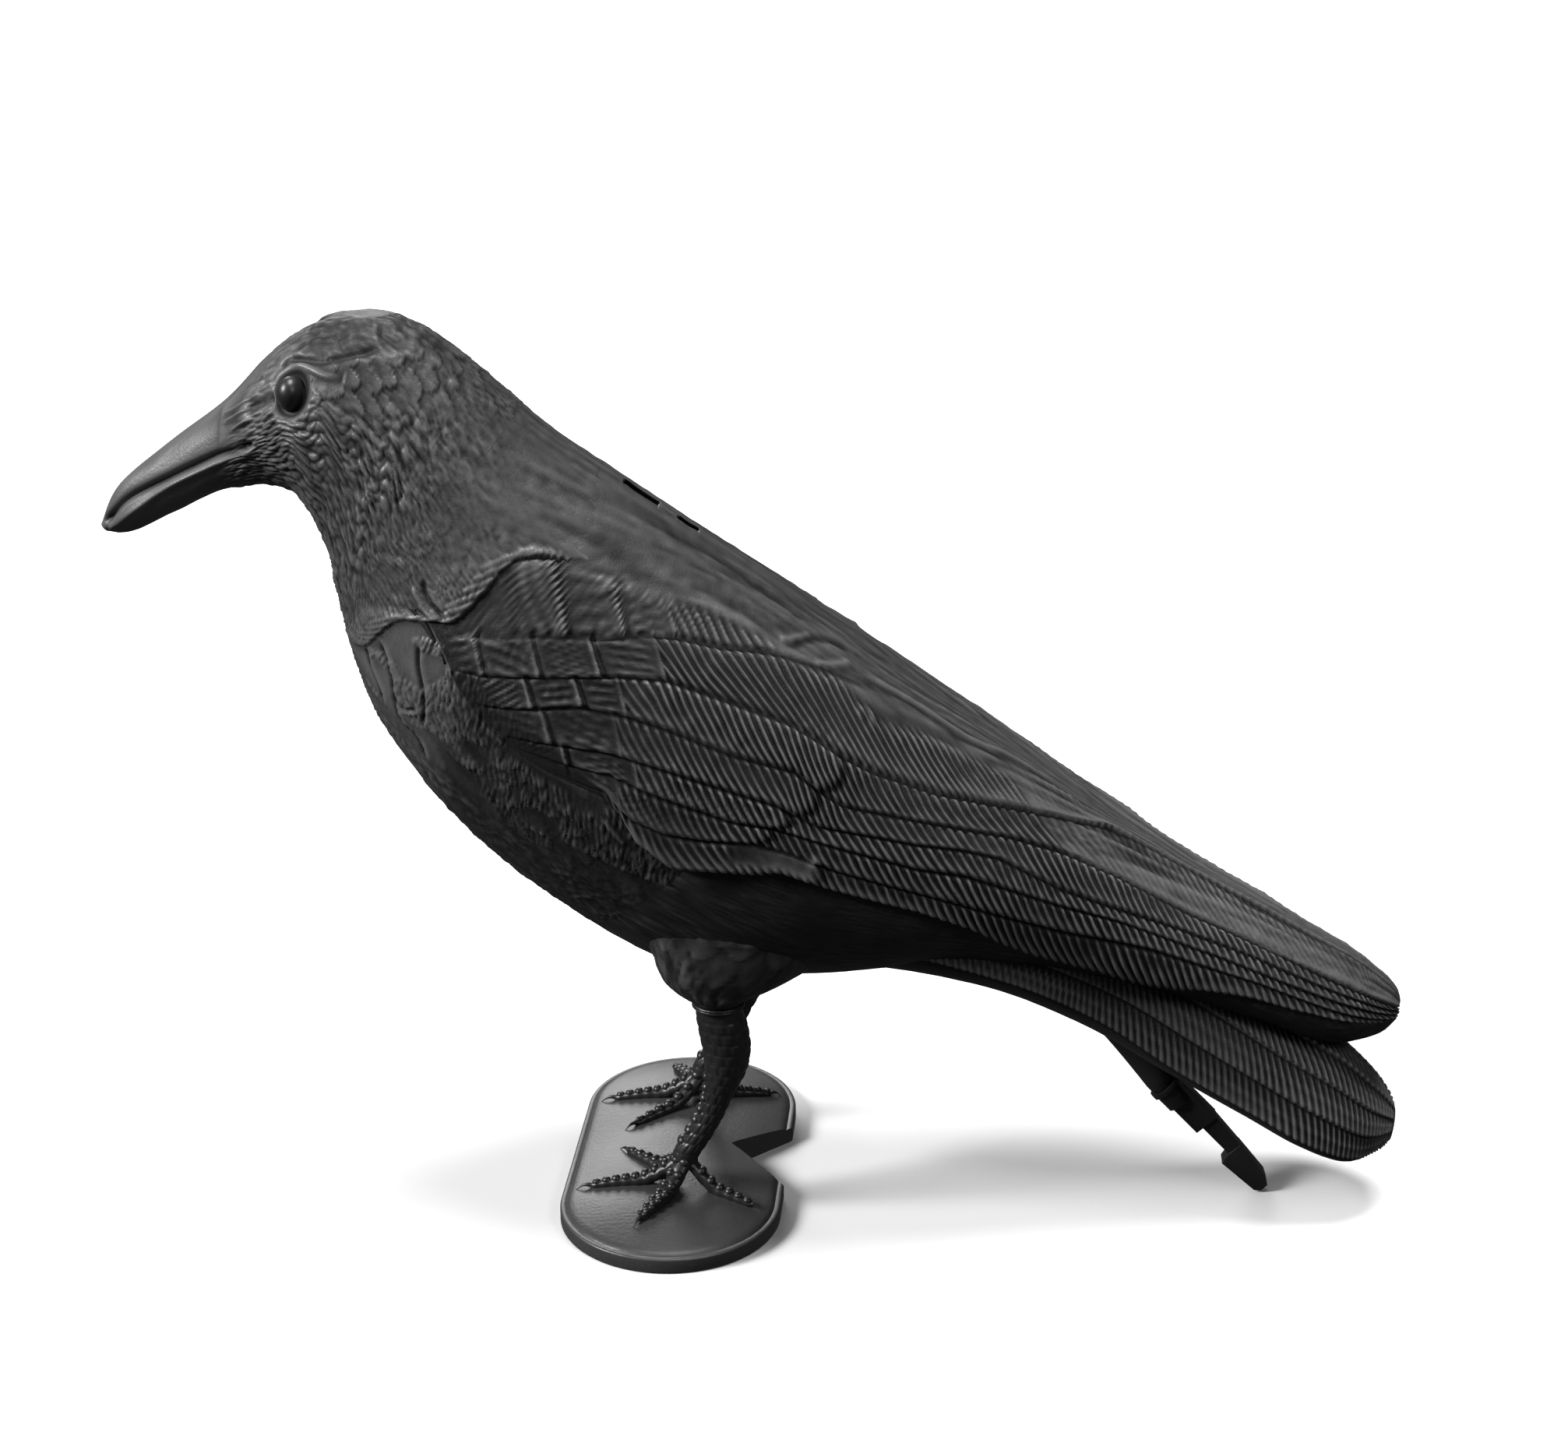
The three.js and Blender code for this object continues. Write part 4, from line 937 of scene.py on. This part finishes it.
# %% [markdown]
# ## Thighs
#
# Feathered thighs hang below the belly and end in short socks round the legs. Each is a lathe-like
# form that is wider along the body than across it, with small plumes that point down.
# %% Thighs
LEG_X, LEG_Y = 15.2, 28
THIGH_X, THIGH_Z, THIGH_TOP = *place(5.3, 9.0), 140
THIGH_RADII = (part(7.6), part(4.6), part(8.7))
SOCK_BOTTOM, SOCK_HEIGHT, SOCK_RIM, SOCK_SPREAD = 74.3, 10, 8.1, 4
BLEND = 5
z, turn = np.linspace(SOCK_BOTTOM, THIGH_TOP, 110)[:, None], full_turn(120)
ball = np.sqrt(np.clip(1 - ((z - THIGH_Z) / THIGH_RADII[2]) ** 2, 0, 1))
sock = SOCK_RIM + SOCK_SPREAD * np.clip((z - SOCK_BOTTOM) / SOCK_HEIGHT, 0, 1.2)
sock = sock * fall(92, 110, z)
long_radius, short_radius = (
    (sock ** BLEND + (radius * ball) ** BLEND) ** (1 / BLEND) for radius in THIGH_RADII[:2])
middle = LEG_X + (THIGH_X - LEG_X) * ease(76, 92, z)
down, around = np.broadcast_arrays(THIGH_TOP - z, turn * 17 / (2 * np.pi))
seam = ease(0, 0.3, np.minimum(turn, 2 * np.pi - turn)) * ease(SOCK_BOTTOM, SOCK_BOTTOM + 4, z)
tufts = 0.25 + 0.75 * ease(-0.1, 0.4, noise(down / 9, around / 1.6, 98))
hairs = 0.7 * strokes(down / 4.5, around * 2.2, 97, width=HAIR) * tufts
bm = bmesh.new()
for side in (-1, 1):
    y = side * LEG_Y + short_radius * np.sin(turn)
    relief = (0.4 * plumes(down / 11, around * 0.8 + 20, 91 + side) + hairs) * seam
    relief = relief - 0.3 * fall(SOCK_BOTTOM, SOCK_BOTTOM + 1.2, z)
    points = grid(middle + long_radius * np.cos(turn), y, z)
    add_tube(bm, raised(points, relief), wear_and_shade=wear_and_shade_of(relief))
thighs = new_piece("thighs", bm)

# %% [markdown]
# ## Eyes
#
# Each eye is a satin ball, a little narrower than it is high, that sits in the socket pressed into
# the head's skin. The lids belong to that skin, so only the balls are left to make.
# %% Eyes
def add_bead(bm, centre, radii, spin=0.0, segments=10, rings=7):
    """A small ball. It is made on its own and then joined, which keeps a large mesh quick."""
    bead = bmesh.new()
    bmesh.ops.create_uvsphere(bead, u_segments=segments, v_segments=rings, radius=1)
    bmesh.ops.scale(bead, verts=bead.verts, vec=Vector(radii) * MM)
    bmesh.ops.rotate(bead, verts=bead.verts, cent=(0, 0, 0), matrix=Matrix.Rotation(spin, 3, "Z"))
    bmesh.ops.translate(bead, verts=bead.verts, vec=Vector(centre) * MM)
    mesh = bpy.data.meshes.new("bead")
    bead.to_mesh(mesh)
    bead.free()
    bm.from_mesh(mesh)
    bpy.data.meshes.remove(mesh)


bm = bmesh.new()
for side in (-1, 1):
    add_bead(bm, EYE * (1, side, 1), EYE_RADII, segments=40, rings=28)
eyes = new_piece("eyes", bm)

# %% [markdown]
# ## The stand
#
# Legs, feet and base are one moulding on the real stand. The base is a low crowned slab with a
# thin lip and a notch behind, the legs carry scales, and a row of beads runs down each front and
# along each toe.
# %% Base
BASE_RADIUS, BASE_STRAIGHT = 34.4, 30.9
BASE_RIM, BASE_CROWN, RIM_BEVEL = 5, 10, 0.7
LIP_PROFILE = ((1.5, 0.05), (1.9, -0.1), (2.4, 0.42))
NOTCH_APEX, NOTCH_BLOCK = 16, 40


def base_top(x, y):
    away = np.hypot(x, np.maximum(0, np.abs(y) - BASE_STRAIGHT))
    share = np.minimum(1, away / BASE_RADIUS)
    return BASE_RIM + (BASE_CROWN - BASE_RIM) * (1 - share ** 2)


# A ring runs down one straight side, round an end, up the other side and round the other end
arc, straight = np.linspace(0, np.pi, 61), np.linspace(-1, 1, 25)
ring_turn = -np.concatenate([0 * straight, arc[1:], np.pi + 0 * straight[1:], np.pi + arc[1:]])
ring_share = -np.concatenate([straight, 1 + 0 * arc[1:], -straight[1:], -1 + 0 * arc[1:]])


def base_ring(radius, z):
    x, y = radius * np.cos(ring_turn), radius * np.sin(ring_turn)
    return grid(x, y + ring_share * BASE_STRAIGHT, z)


corner, inset = np.linspace(0, np.pi / 2, 5), BASE_RADIUS - RIM_BEVEL
rim = [(inset + RIM_BEVEL * math.sin(c), RIM_BEVEL * (1 - math.cos(c))) for c in corner]
rim += [(inset + RIM_BEVEL * math.cos(c), BASE_RIM - RIM_BEVEL * (1 - math.sin(c)))
        for c in corner]
rim += [(BASE_RADIUS - inwards, BASE_RIM + up) for inwards, up in LIP_PROFILE]
crown = [(BASE_RADIUS * s, base_top(BASE_RADIUS * s, 0)) for s in np.linspace(0.9, 0.03, 22)]
rings = np.stack([base_ring(radius, z) for radius, z in rim + crown])
base = finished("base_blank", add_tube(bmesh.new(), rings))
bm = bmesh.new()
bmesh.ops.create_cube(bm, size=NOTCH_BLOCK * MM)
bmesh.ops.rotate(bm, verts=bm.verts, cent=(0, 0, 0), matrix=Matrix.Rotation(math.pi / 4, 3, "Z"))
move = ((NOTCH_APEX + NOTCH_BLOCK / math.sqrt(2)) * MM, 0, 0)
bmesh.ops.translate(bm, verts=bm.verts, vec=move)
notch = finished("notch", bm)
cut = base.modifiers.new("notch", "BOOLEAN")
cut.operation, cut.object, cut.solver = "DIFFERENCE", notch, "EXACT"
graph = bpy.context.evaluated_depsgraph_get()
cut_mesh = bpy.data.meshes.new_from_object(base.evaluated_get(graph))
cut_mesh.set_sharp_from_angle(angle=math.radians(35))
stand_bm = bmesh.new()
stand_bm.from_mesh(cut_mesh)
for spare in (base, notch):
    bpy.data.objects.remove(spare)
print("base", len(stand_bm.faces), "faces")


# %% Legs
LEG = np.array([(-10.6, 0.58), (-6.4, 0.54), (-2.6, 0.53), (0, 0.6), (2.0, 0.82), (2.4, 0.97),
                (1.4, 1.0), (0, 0.96)])
LEG_RADIUS, LEG_FLATNESS, KNUCKLE_HEIGHT = 7.4, 0.9, 20
LEG_TOP = 72.4
FOOT_X = LEG_X + LEG[0, 0]
COLLAR = np.array([(5.2, 80.6), (5.2, 74.0), (7.6, 74.0), (8.1, 73.75), (8.1, 73.35), (7.75, 73.2),
                   (8.1, 73.05), (8.1, 72.65), (7.6, 72.4), (5.0, 72.4)])
SCALE_HEIGHT, SCALES_AROUND = 3.6, 12
BEAD_PITCH, SHANK_BEADS, BEADS_START, BEAD_RADII = 3.8, 7, 0.1, (1.9, 2.5, 1.75)


def leg_at(share):
    back, radius = np.moveaxis(spline(LEG, np.asarray(share, dtype=float) * (len(LEG) - 1)), -1, 0)
    return LEG_X + back, KNUCKLE_HEIGHT + (LEG_TOP - KNUCKLE_HEIGHT) * share, LEG_RADIUS * radius


share, turn, ring = np.linspace(0, 1, 150)[:, None], full_turn(72), full_turn(64)
radius, height = COLLAR[:, :1], COLLAR[:, 1:]
collar_x, collar_y = LEG_X + radius * np.cos(ring), radius * np.sin(ring)
x, z, radius = leg_at(share)
down, around = np.broadcast_arrays((LEG_TOP - z) / SCALE_HEIGHT, turn * SCALES_AROUND / (2 * np.pi))
around = around + 0.5 * np.mod(np.floor(down), 2)
plate = 1
for count in (down, around):
    plate = plate * np.clip(1 - (2 * (count - np.floor(count) - 0.5)) ** 4, 0, 1)
relief = 0.38 * plate * between(0, 0.06, 0.9, 0.98, share)
for side in (-1, 1):
    y = side * LEG_Y - LEG_FLATNESS * radius * np.sin(turn)
    add_tube(stand_bm, raised(grid(x + radius * np.cos(turn), y, z), relief))
    add_tube(stand_bm, grid(collar_x, side * LEG_Y + collar_y, height))
    for k in range(SHANK_BEADS):
        bead_x, bead_z, thick = leg_at(BEADS_START + k * BEAD_PITCH / (LEG_TOP - KNUCKLE_HEIGHT))
        add_bead(stand_bm, (bead_x - 0.88 * thick, side * LEG_Y, bead_z), BEAD_RADII)
print("legs done", len(stand_bm.faces), "faces so far")

# %% Toes and claws
TOE_RADIUS, TOE_TAPER, TOE_LIFT, TOE_FALL = 2.7, 0.62, 0.35, 0.45
CLAW_SHARE, FOLD_PITCH = 0.84, 3.4
ANKLE_RADII = (4.1, 4.0, 4.1)
# How far each toe reaches towards the tail and outwards, its thickness, its beads and their rows
TOES = [(-34.6, 0.5, 1.0, 9, 1), (-13.6, 24, 1.15, 7, 2), (-23.6, -22, 1.0, 7, 1),
        (24.4, 9, 0.95, 7, 1)]


def toe_at(side, reach, out, thick, share):
    """The middle of a toe and its radius, at a share of its length."""
    x, y = FOOT_X + reach * share, side * LEG_Y + side * out * share
    radius = TOE_RADIUS * thick * (1 - TOE_TAPER * share ** 1.5)
    radius = radius * (1 - 0.35 * ease(CLAW_SHARE - 0.02, CLAW_SHARE + 0.03, share))
    radius = radius * (1 - 0.75 * ease(CLAW_SHARE, 1.0, share))
    lying = base_top(x, y) + TOE_LIFT * radius
    drop = np.maximum(0, 1 - share / TOE_FALL) ** 1.6
    arch = 1.1 * np.sin(np.pi * np.clip((share - CLAW_SHARE) / (1 - CLAW_SHARE), 0, 1))
    return x, y, lying + (KNUCKLE_HEIGHT - lying) * drop + arch, radius


def add_toe(bm, side, reach, out, thick, beads, bead_rows):
    length, spin = math.hypot(reach, out), math.atan2(side * out, reach)
    across, ahead = -side * out / length, reach / length
    share, turn = np.linspace(0, 1, 64)[:, None], full_turn(24)
    x, y, z, radius = toe_at(side, reach, out, thick, share)
    folds = 0.5 + 0.5 * np.cos(2 * np.pi * share * length / FOLD_PITCH)
    radius = radius * (1 - 0.07 * folds * (share < CLAW_SHARE))
    aside = radius * np.sin(turn)
    add_tube(bm, grid(x + across * aside, y + ahead * aside, z + radius * np.cos(turn)))
    for k in range(beads):
        share = 0.1 + (CLAW_SHARE - 0.13) * k / (beads - 1)
        x, y, z, radius = toe_at(side, reach, out, thick, share)
        size = radius * (0.62 if bead_rows == 2 else 0.8)
        radii = (CLAW_SHARE * length / beads * 0.47, size, size * 0.8)
        for row in range(bead_rows):
            aside = (row - (bead_rows - 1) / 2) * radius * 0.95
            lift = math.sqrt(max(0, radius ** 2 - aside ** 2)) * 0.74
            add_bead(bm, (x + across * aside, y + ahead * aside, z + lift), radii, spin)


for side in (-1, 1):
    add_bead(stand_bm, (FOOT_X, side * LEG_Y, KNUCKLE_HEIGHT), ANKLE_RADII)
    for toe in TOES:
        add_toe(stand_bm, side, *toe)
stand = new_piece("leg_stand_skin", stand_bm, "leg_stand")

# %% [markdown]
# ## The clip
#
# The clip's solid is right already and only its edges are too keen. Its mesh is copied, merged
# and bevelled, as a mould-maker eases edges so that a part leaves the mould.
# %% Clip
CLIP_MERGE, CLIP_EASE = 1e-5, 0.35
bm = bmesh.new()
bm.from_mesh(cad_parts["tail_clip"].data)
bmesh.ops.remove_doubles(bm, verts=bm.verts, dist=CLIP_MERGE)
bmesh.ops.dissolve_limit(bm, angle_limit=math.radians(3), verts=bm.verts, edges=bm.edges)
clip = new_piece("clip", bm, "tail_clip")
rounding = clip.modifiers.new("eased edges", "BEVEL")
rounding.width, rounding.segments, rounding.limit_method = CLIP_EASE * MM, 3, "ANGLE"
rounding.angle_limit = math.radians(32)
rounding.harden_normals = True

# %% [markdown]
# ## Black satin plastic
#
# Blow-moulded plastic isn't one black. It has a fine skin from the mould, soft cloudy changes of
# sheen, and pale dust where hands and shelves rub it. On the bird's skins the colour is also
# painted: a painted highlight on ridges and painted shade in grooves. A small class turns shader
# maths into plain expressions, so each finish reads as a recipe.
# %% Shader expressions
def operator(operation, reflected=False):
    """A method for one of Python's own operators."""
    if reflected:
        return lambda self, other: self.maths(operation, other, self)
    return lambda self, other: self.maths(operation, self, other)


class Shade:
    """A socket of a material's tree, with Python's own operators for shader maths."""
    __add__, __radd__ = operator("ADD"), operator("ADD", reflected=True)
    __sub__, __rsub__ = operator("SUBTRACT"), operator("SUBTRACT", reflected=True)
    __mul__, __rmul__ = operator("MULTIPLY"), operator("MULTIPLY", reflected=True)
    __pow__ = operator("POWER")

    def __init__(self, tree, socket=None):
        self.tree, self.socket = tree, socket

    def node(self, kind, values, settings=None, output=0):
        node = self.tree.nodes.new(kind)
        for key, value in (settings or {}).items():
            setattr(node, key, value)
        for key, value in values.items():
            if isinstance(value, Shade):
                self.tree.links.new(value.socket, node.inputs[key])
            else:
                node.inputs[key].default_value = value
        return Shade(self.tree, node.outputs[output]) if node.outputs else node

    def noise(self, place, scale, detail=2.0):
        return self.node("ShaderNodeTexNoise", {"Vector": place, "Scale": scale, "Detail": detail})

    def between(self, amount, first, second):
        """A mix of two colours, each given as its grey and its blue."""
        values = {0: amount, 6: (first[0], *first, 1), 7: (second[0], *second, 1)}
        return self.node("ShaderNodeMix", values, {"data_type": "RGBA"}, output=2)

    def maths(self, operation, first, second):
        return self.node("ShaderNodeMath", {0: first, 1: second}, {"operation": operation})


# %% One recipe for the black plastics
CLOUD_SCALE, STREAK_TILT, STREAK_SCALE = 38.0, 0.36, (260.0, 900.0, 900.0)


def plastic(name, dark, light, rough, grain, specular=0.5, wear_and_shade=0.0, bump=0.3):
    """Cloudy black with a fine skin. Each colour is given as its grey and its blue. The share given
    for the skins' stored tone says how far the colour follows it: painted shade in grooves, wear
    and painted highlight on ridges."""
    material = bpy.data.materials.new("black_plastic_" + name)
    material.use_nodes = True
    material.node_tree.nodes.clear()
    start = Shade(material.node_tree)
    spot = start.node("ShaderNodeTexCoord", {}, output="Object")
    cloud, fine = start.noise(spot, CLOUD_SCALE, 3.0), start.noise(spot, grain, 4.0)
    turned = {"Vector": spot, "Rotation": (0.0, STREAK_TILT, 0.0), "Scale": STREAK_SCALE}
    streak = start.noise(start.node("ShaderNodeMapping", turned), 1.0)
    amount = cloud * 0.6 + fine * 0.4
    roughness = rough + (cloud - 0.5) * 0.16 + (fine - 0.5) * 0.08
    # The stored tone paints shade in grooves and wear and highlight on ridges; grooves are also
    # rougher
    if wear_and_shade:
        ridges = start.node("ShaderNodeAttribute", {}, {"attribute_name": "wear_and_shade"}, output="Fac")
        amount = amount * (1 - wear_and_shade) + ridges ** 1.5 * wear_and_shade
        roughness = roughness + (1 - ridges) * 0.2
    relief = {"Height": fine * 0.25 + streak * 0.2, "Strength": bump, "Distance": 0.001}
    shader = start.node("ShaderNodeBsdfPrincipled", {
        "Base Color": start.between(amount, dark, light), "Roughness": roughness,
        "Normal": start.node("ShaderNodeBump", relief), "Specular IOR Level": specular})
    start.node("ShaderNodeOutputMaterial", {"Surface": shader})
    return material


def dress(material, *pieces):
    for piece in pieces:
        piece.data.materials.append(material)


body_black = plastic("body", (0.003, 0.0033), (0.125, 0.128), 0.34, 1500.0, 0.27, wear_and_shade=0.87)
# Base and legs are one plastic: the base's lighter copy is painted light on its flat top, and the
# legs' darker copy is painted shade
base_painted_light = plastic("stand", (0.022, 0.023), (0.070, 0.072), 0.40, 1200.0)
leg_painted_shade = plastic("legs", (0.006, 0.0065), (0.024, 0.025), 0.36, 1200.0)
clip_black = plastic("clip", (0.010, 0.011), (0.022, 0.024), 0.36, 1300.0)
eye_black = plastic("eye", (0.010, 0.011), (0.020, 0.022), 0.36, 900.0, bump=0.03)
# Near black without gloss for the slits' insides: painted shade
slit_painted_shade = plastic("in_slits_painted_shade", (0.0005, 0.0005), (0.002, 0.002), 0.9, 1200.0, specular=0.0)
dress(body_black, head, breast, belly, left_wing, right_wing, tail, thighs)
dress(slit_painted_shade, left_wing, right_wing)
dress(eye_black, eyes)
dress(base_painted_light, stand)
dress(leg_painted_shade, stand)
dress(clip_black, clip)
print(len(bpy.data.materials), "materials")

# %% Faces that get their piece's second black, which is painted shade
# The cord slits open into the hollow bird. The faces inside them get a near-black material without
# gloss, darker than any skin: painted shade that stands for the dark hollow.
SLIT_START = 0.5
for wing in (left_wing, right_wing):
    middles = np.zeros(3 * len(wing.data.polygons))
    wing.data.polygons.foreach_get("center", middles)
    middles = middles.reshape(-1, 3) / MM
    along, angle = wing_place(middles)
    away = np.linalg.norm(middles - AXIS_START - along[:, None] * AXIS, axis=1)
    inside = (radius_at(along, angle) - away > SLIT_START) & (np.abs(middles[:, 1]) < SLIT_HALF)
    inside &= slit_at(along, 0.8).astype(bool)
    wing.data.polygons.foreach_set("material_index", inside.astype(np.int32))
    print(wing.name, inside.sum(), "faces in the slits")
# The legs and feet are painted darker than the base, as painted shade; the base is what lies under
# its own top or on its lip
LIP_REACH, SKIN_DEEP = 2.6, 0.02
for face in stand.data.polygons:
    x, y, z = face.center / MM
    on_lip = math.hypot(x, max(0, abs(y) - BASE_STRAIGHT)) > BASE_RADIUS - LIP_REACH
    face.material_index = int(z > base_top(x, y) + SKIN_DEEP and not on_lip)

# %% [markdown]
# ## Studio
#
# Black plastic shows mostly what it mirrors, so the lights are soft: far suns that look as wide as
# large panels. The strongest stands in front to the left, one hangs overhead, and two weak ones
# fill the rear and the right. The floor is pale and plain.
# %% Floor, lights and world
FLOOR_SIZE, ROOM_GLOW = 4, 0.05
bm = bmesh.new()
bmesh.ops.create_grid(bm, x_segments=4, y_segments=4, size=FLOOR_SIZE)
floor = finished("floor", bm)
floor.visible_diffuse = floor.visible_glossy = False
pale = bpy.data.materials.new("pale_floor")
pale.use_nodes = True
start = Shade(pale.node_tree)
patches = start.noise(start.node("ShaderNodeTexCoord", {}, output="Object"), 3.0)
shader = pale.node_tree.nodes["Principled BSDF"]
shader.inputs["Roughness"].default_value = 0.9
shader.inputs["Specular IOR Level"].default_value = 0.1
colour = start.between(patches, (0.80, 0.80), (0.84, 0.84))
pale.node_tree.links.new(colour.socket, shader.inputs["Base Color"])
dress(pale, floor)

# Each light's direction from the bird, its strength and its width in degrees
LIGHTS = {"over_light": ((0.05, 0.08, 0.95), 3.6, 24), "left_light": ((-0.78, -0.3, 0.56), 4.3, 20),
          "right_light": ((0.55, -0.5, 0.6), 0.5, 16), "rear_light": ((-0.25, 0.85, 0.42), 1.0, 24)}
for name, (towards, strength, spread) in LIGHTS.items():
    light = bpy.data.lights.new(name, "SUN")
    light.energy, light.angle = strength, math.radians(spread)
    linked(name, light).rotation_euler = Vector(towards).to_track_quat("Z", "Y").to_euler()

# The wall behind the floor is white to look at, but lights the bird only a little
world = bpy.data.worlds.new("studio")
bpy.context.scene.world = world
world.use_nodes = True
backdrop = world.node_tree.nodes["Background"]
backdrop.inputs["Color"].default_value = (1, 1, 1, 1)
looked_at = Shade(world.node_tree).node("ShaderNodeLightPath", {})
strength = looked_at * (1 - ROOM_GLOW) + ROOM_GLOW
world.node_tree.links.new(strength.socket, backdrop.inputs["Strength"])
bpy.context.scene.view_settings.view_transform = "Standard"
print(len(LIGHTS), "lights")

# %% [markdown]
# ## Camera
#
# The camera looks from the bird's left and a little from above, as a shopkeeper would look at it.
# %% Camera
AZIMUTH, PITCH, DISTANCE = math.radians(4.5), math.radians(21), 0.85
TARGET = Vector((0.033, 0, 0.155))
FOCAL_PIXELS, FRAME_PIXELS, SENSOR = 3612.5, 2013, 36
lens = bpy.data.cameras.new("camera")
lens.sensor_width, lens.lens = SENSOR, SENSOR * FOCAL_PIXELS / FRAME_PIXELS
lens.sensor_fit, lens.clip_start = "HORIZONTAL", 0.01
camera = linked("camera", lens)
level = math.cos(PITCH)
away = Vector((math.sin(AZIMUTH) * level, -math.cos(AZIMUTH) * level, math.sin(PITCH)))
camera.location = TARGET + DISTANCE * away
camera.rotation_euler = (math.pi / 2 - PITCH, 0, AZIMUTH)
bpy.context.scene.camera = camera
print("camera at", tuple(round(value, 3) for value in camera.location))
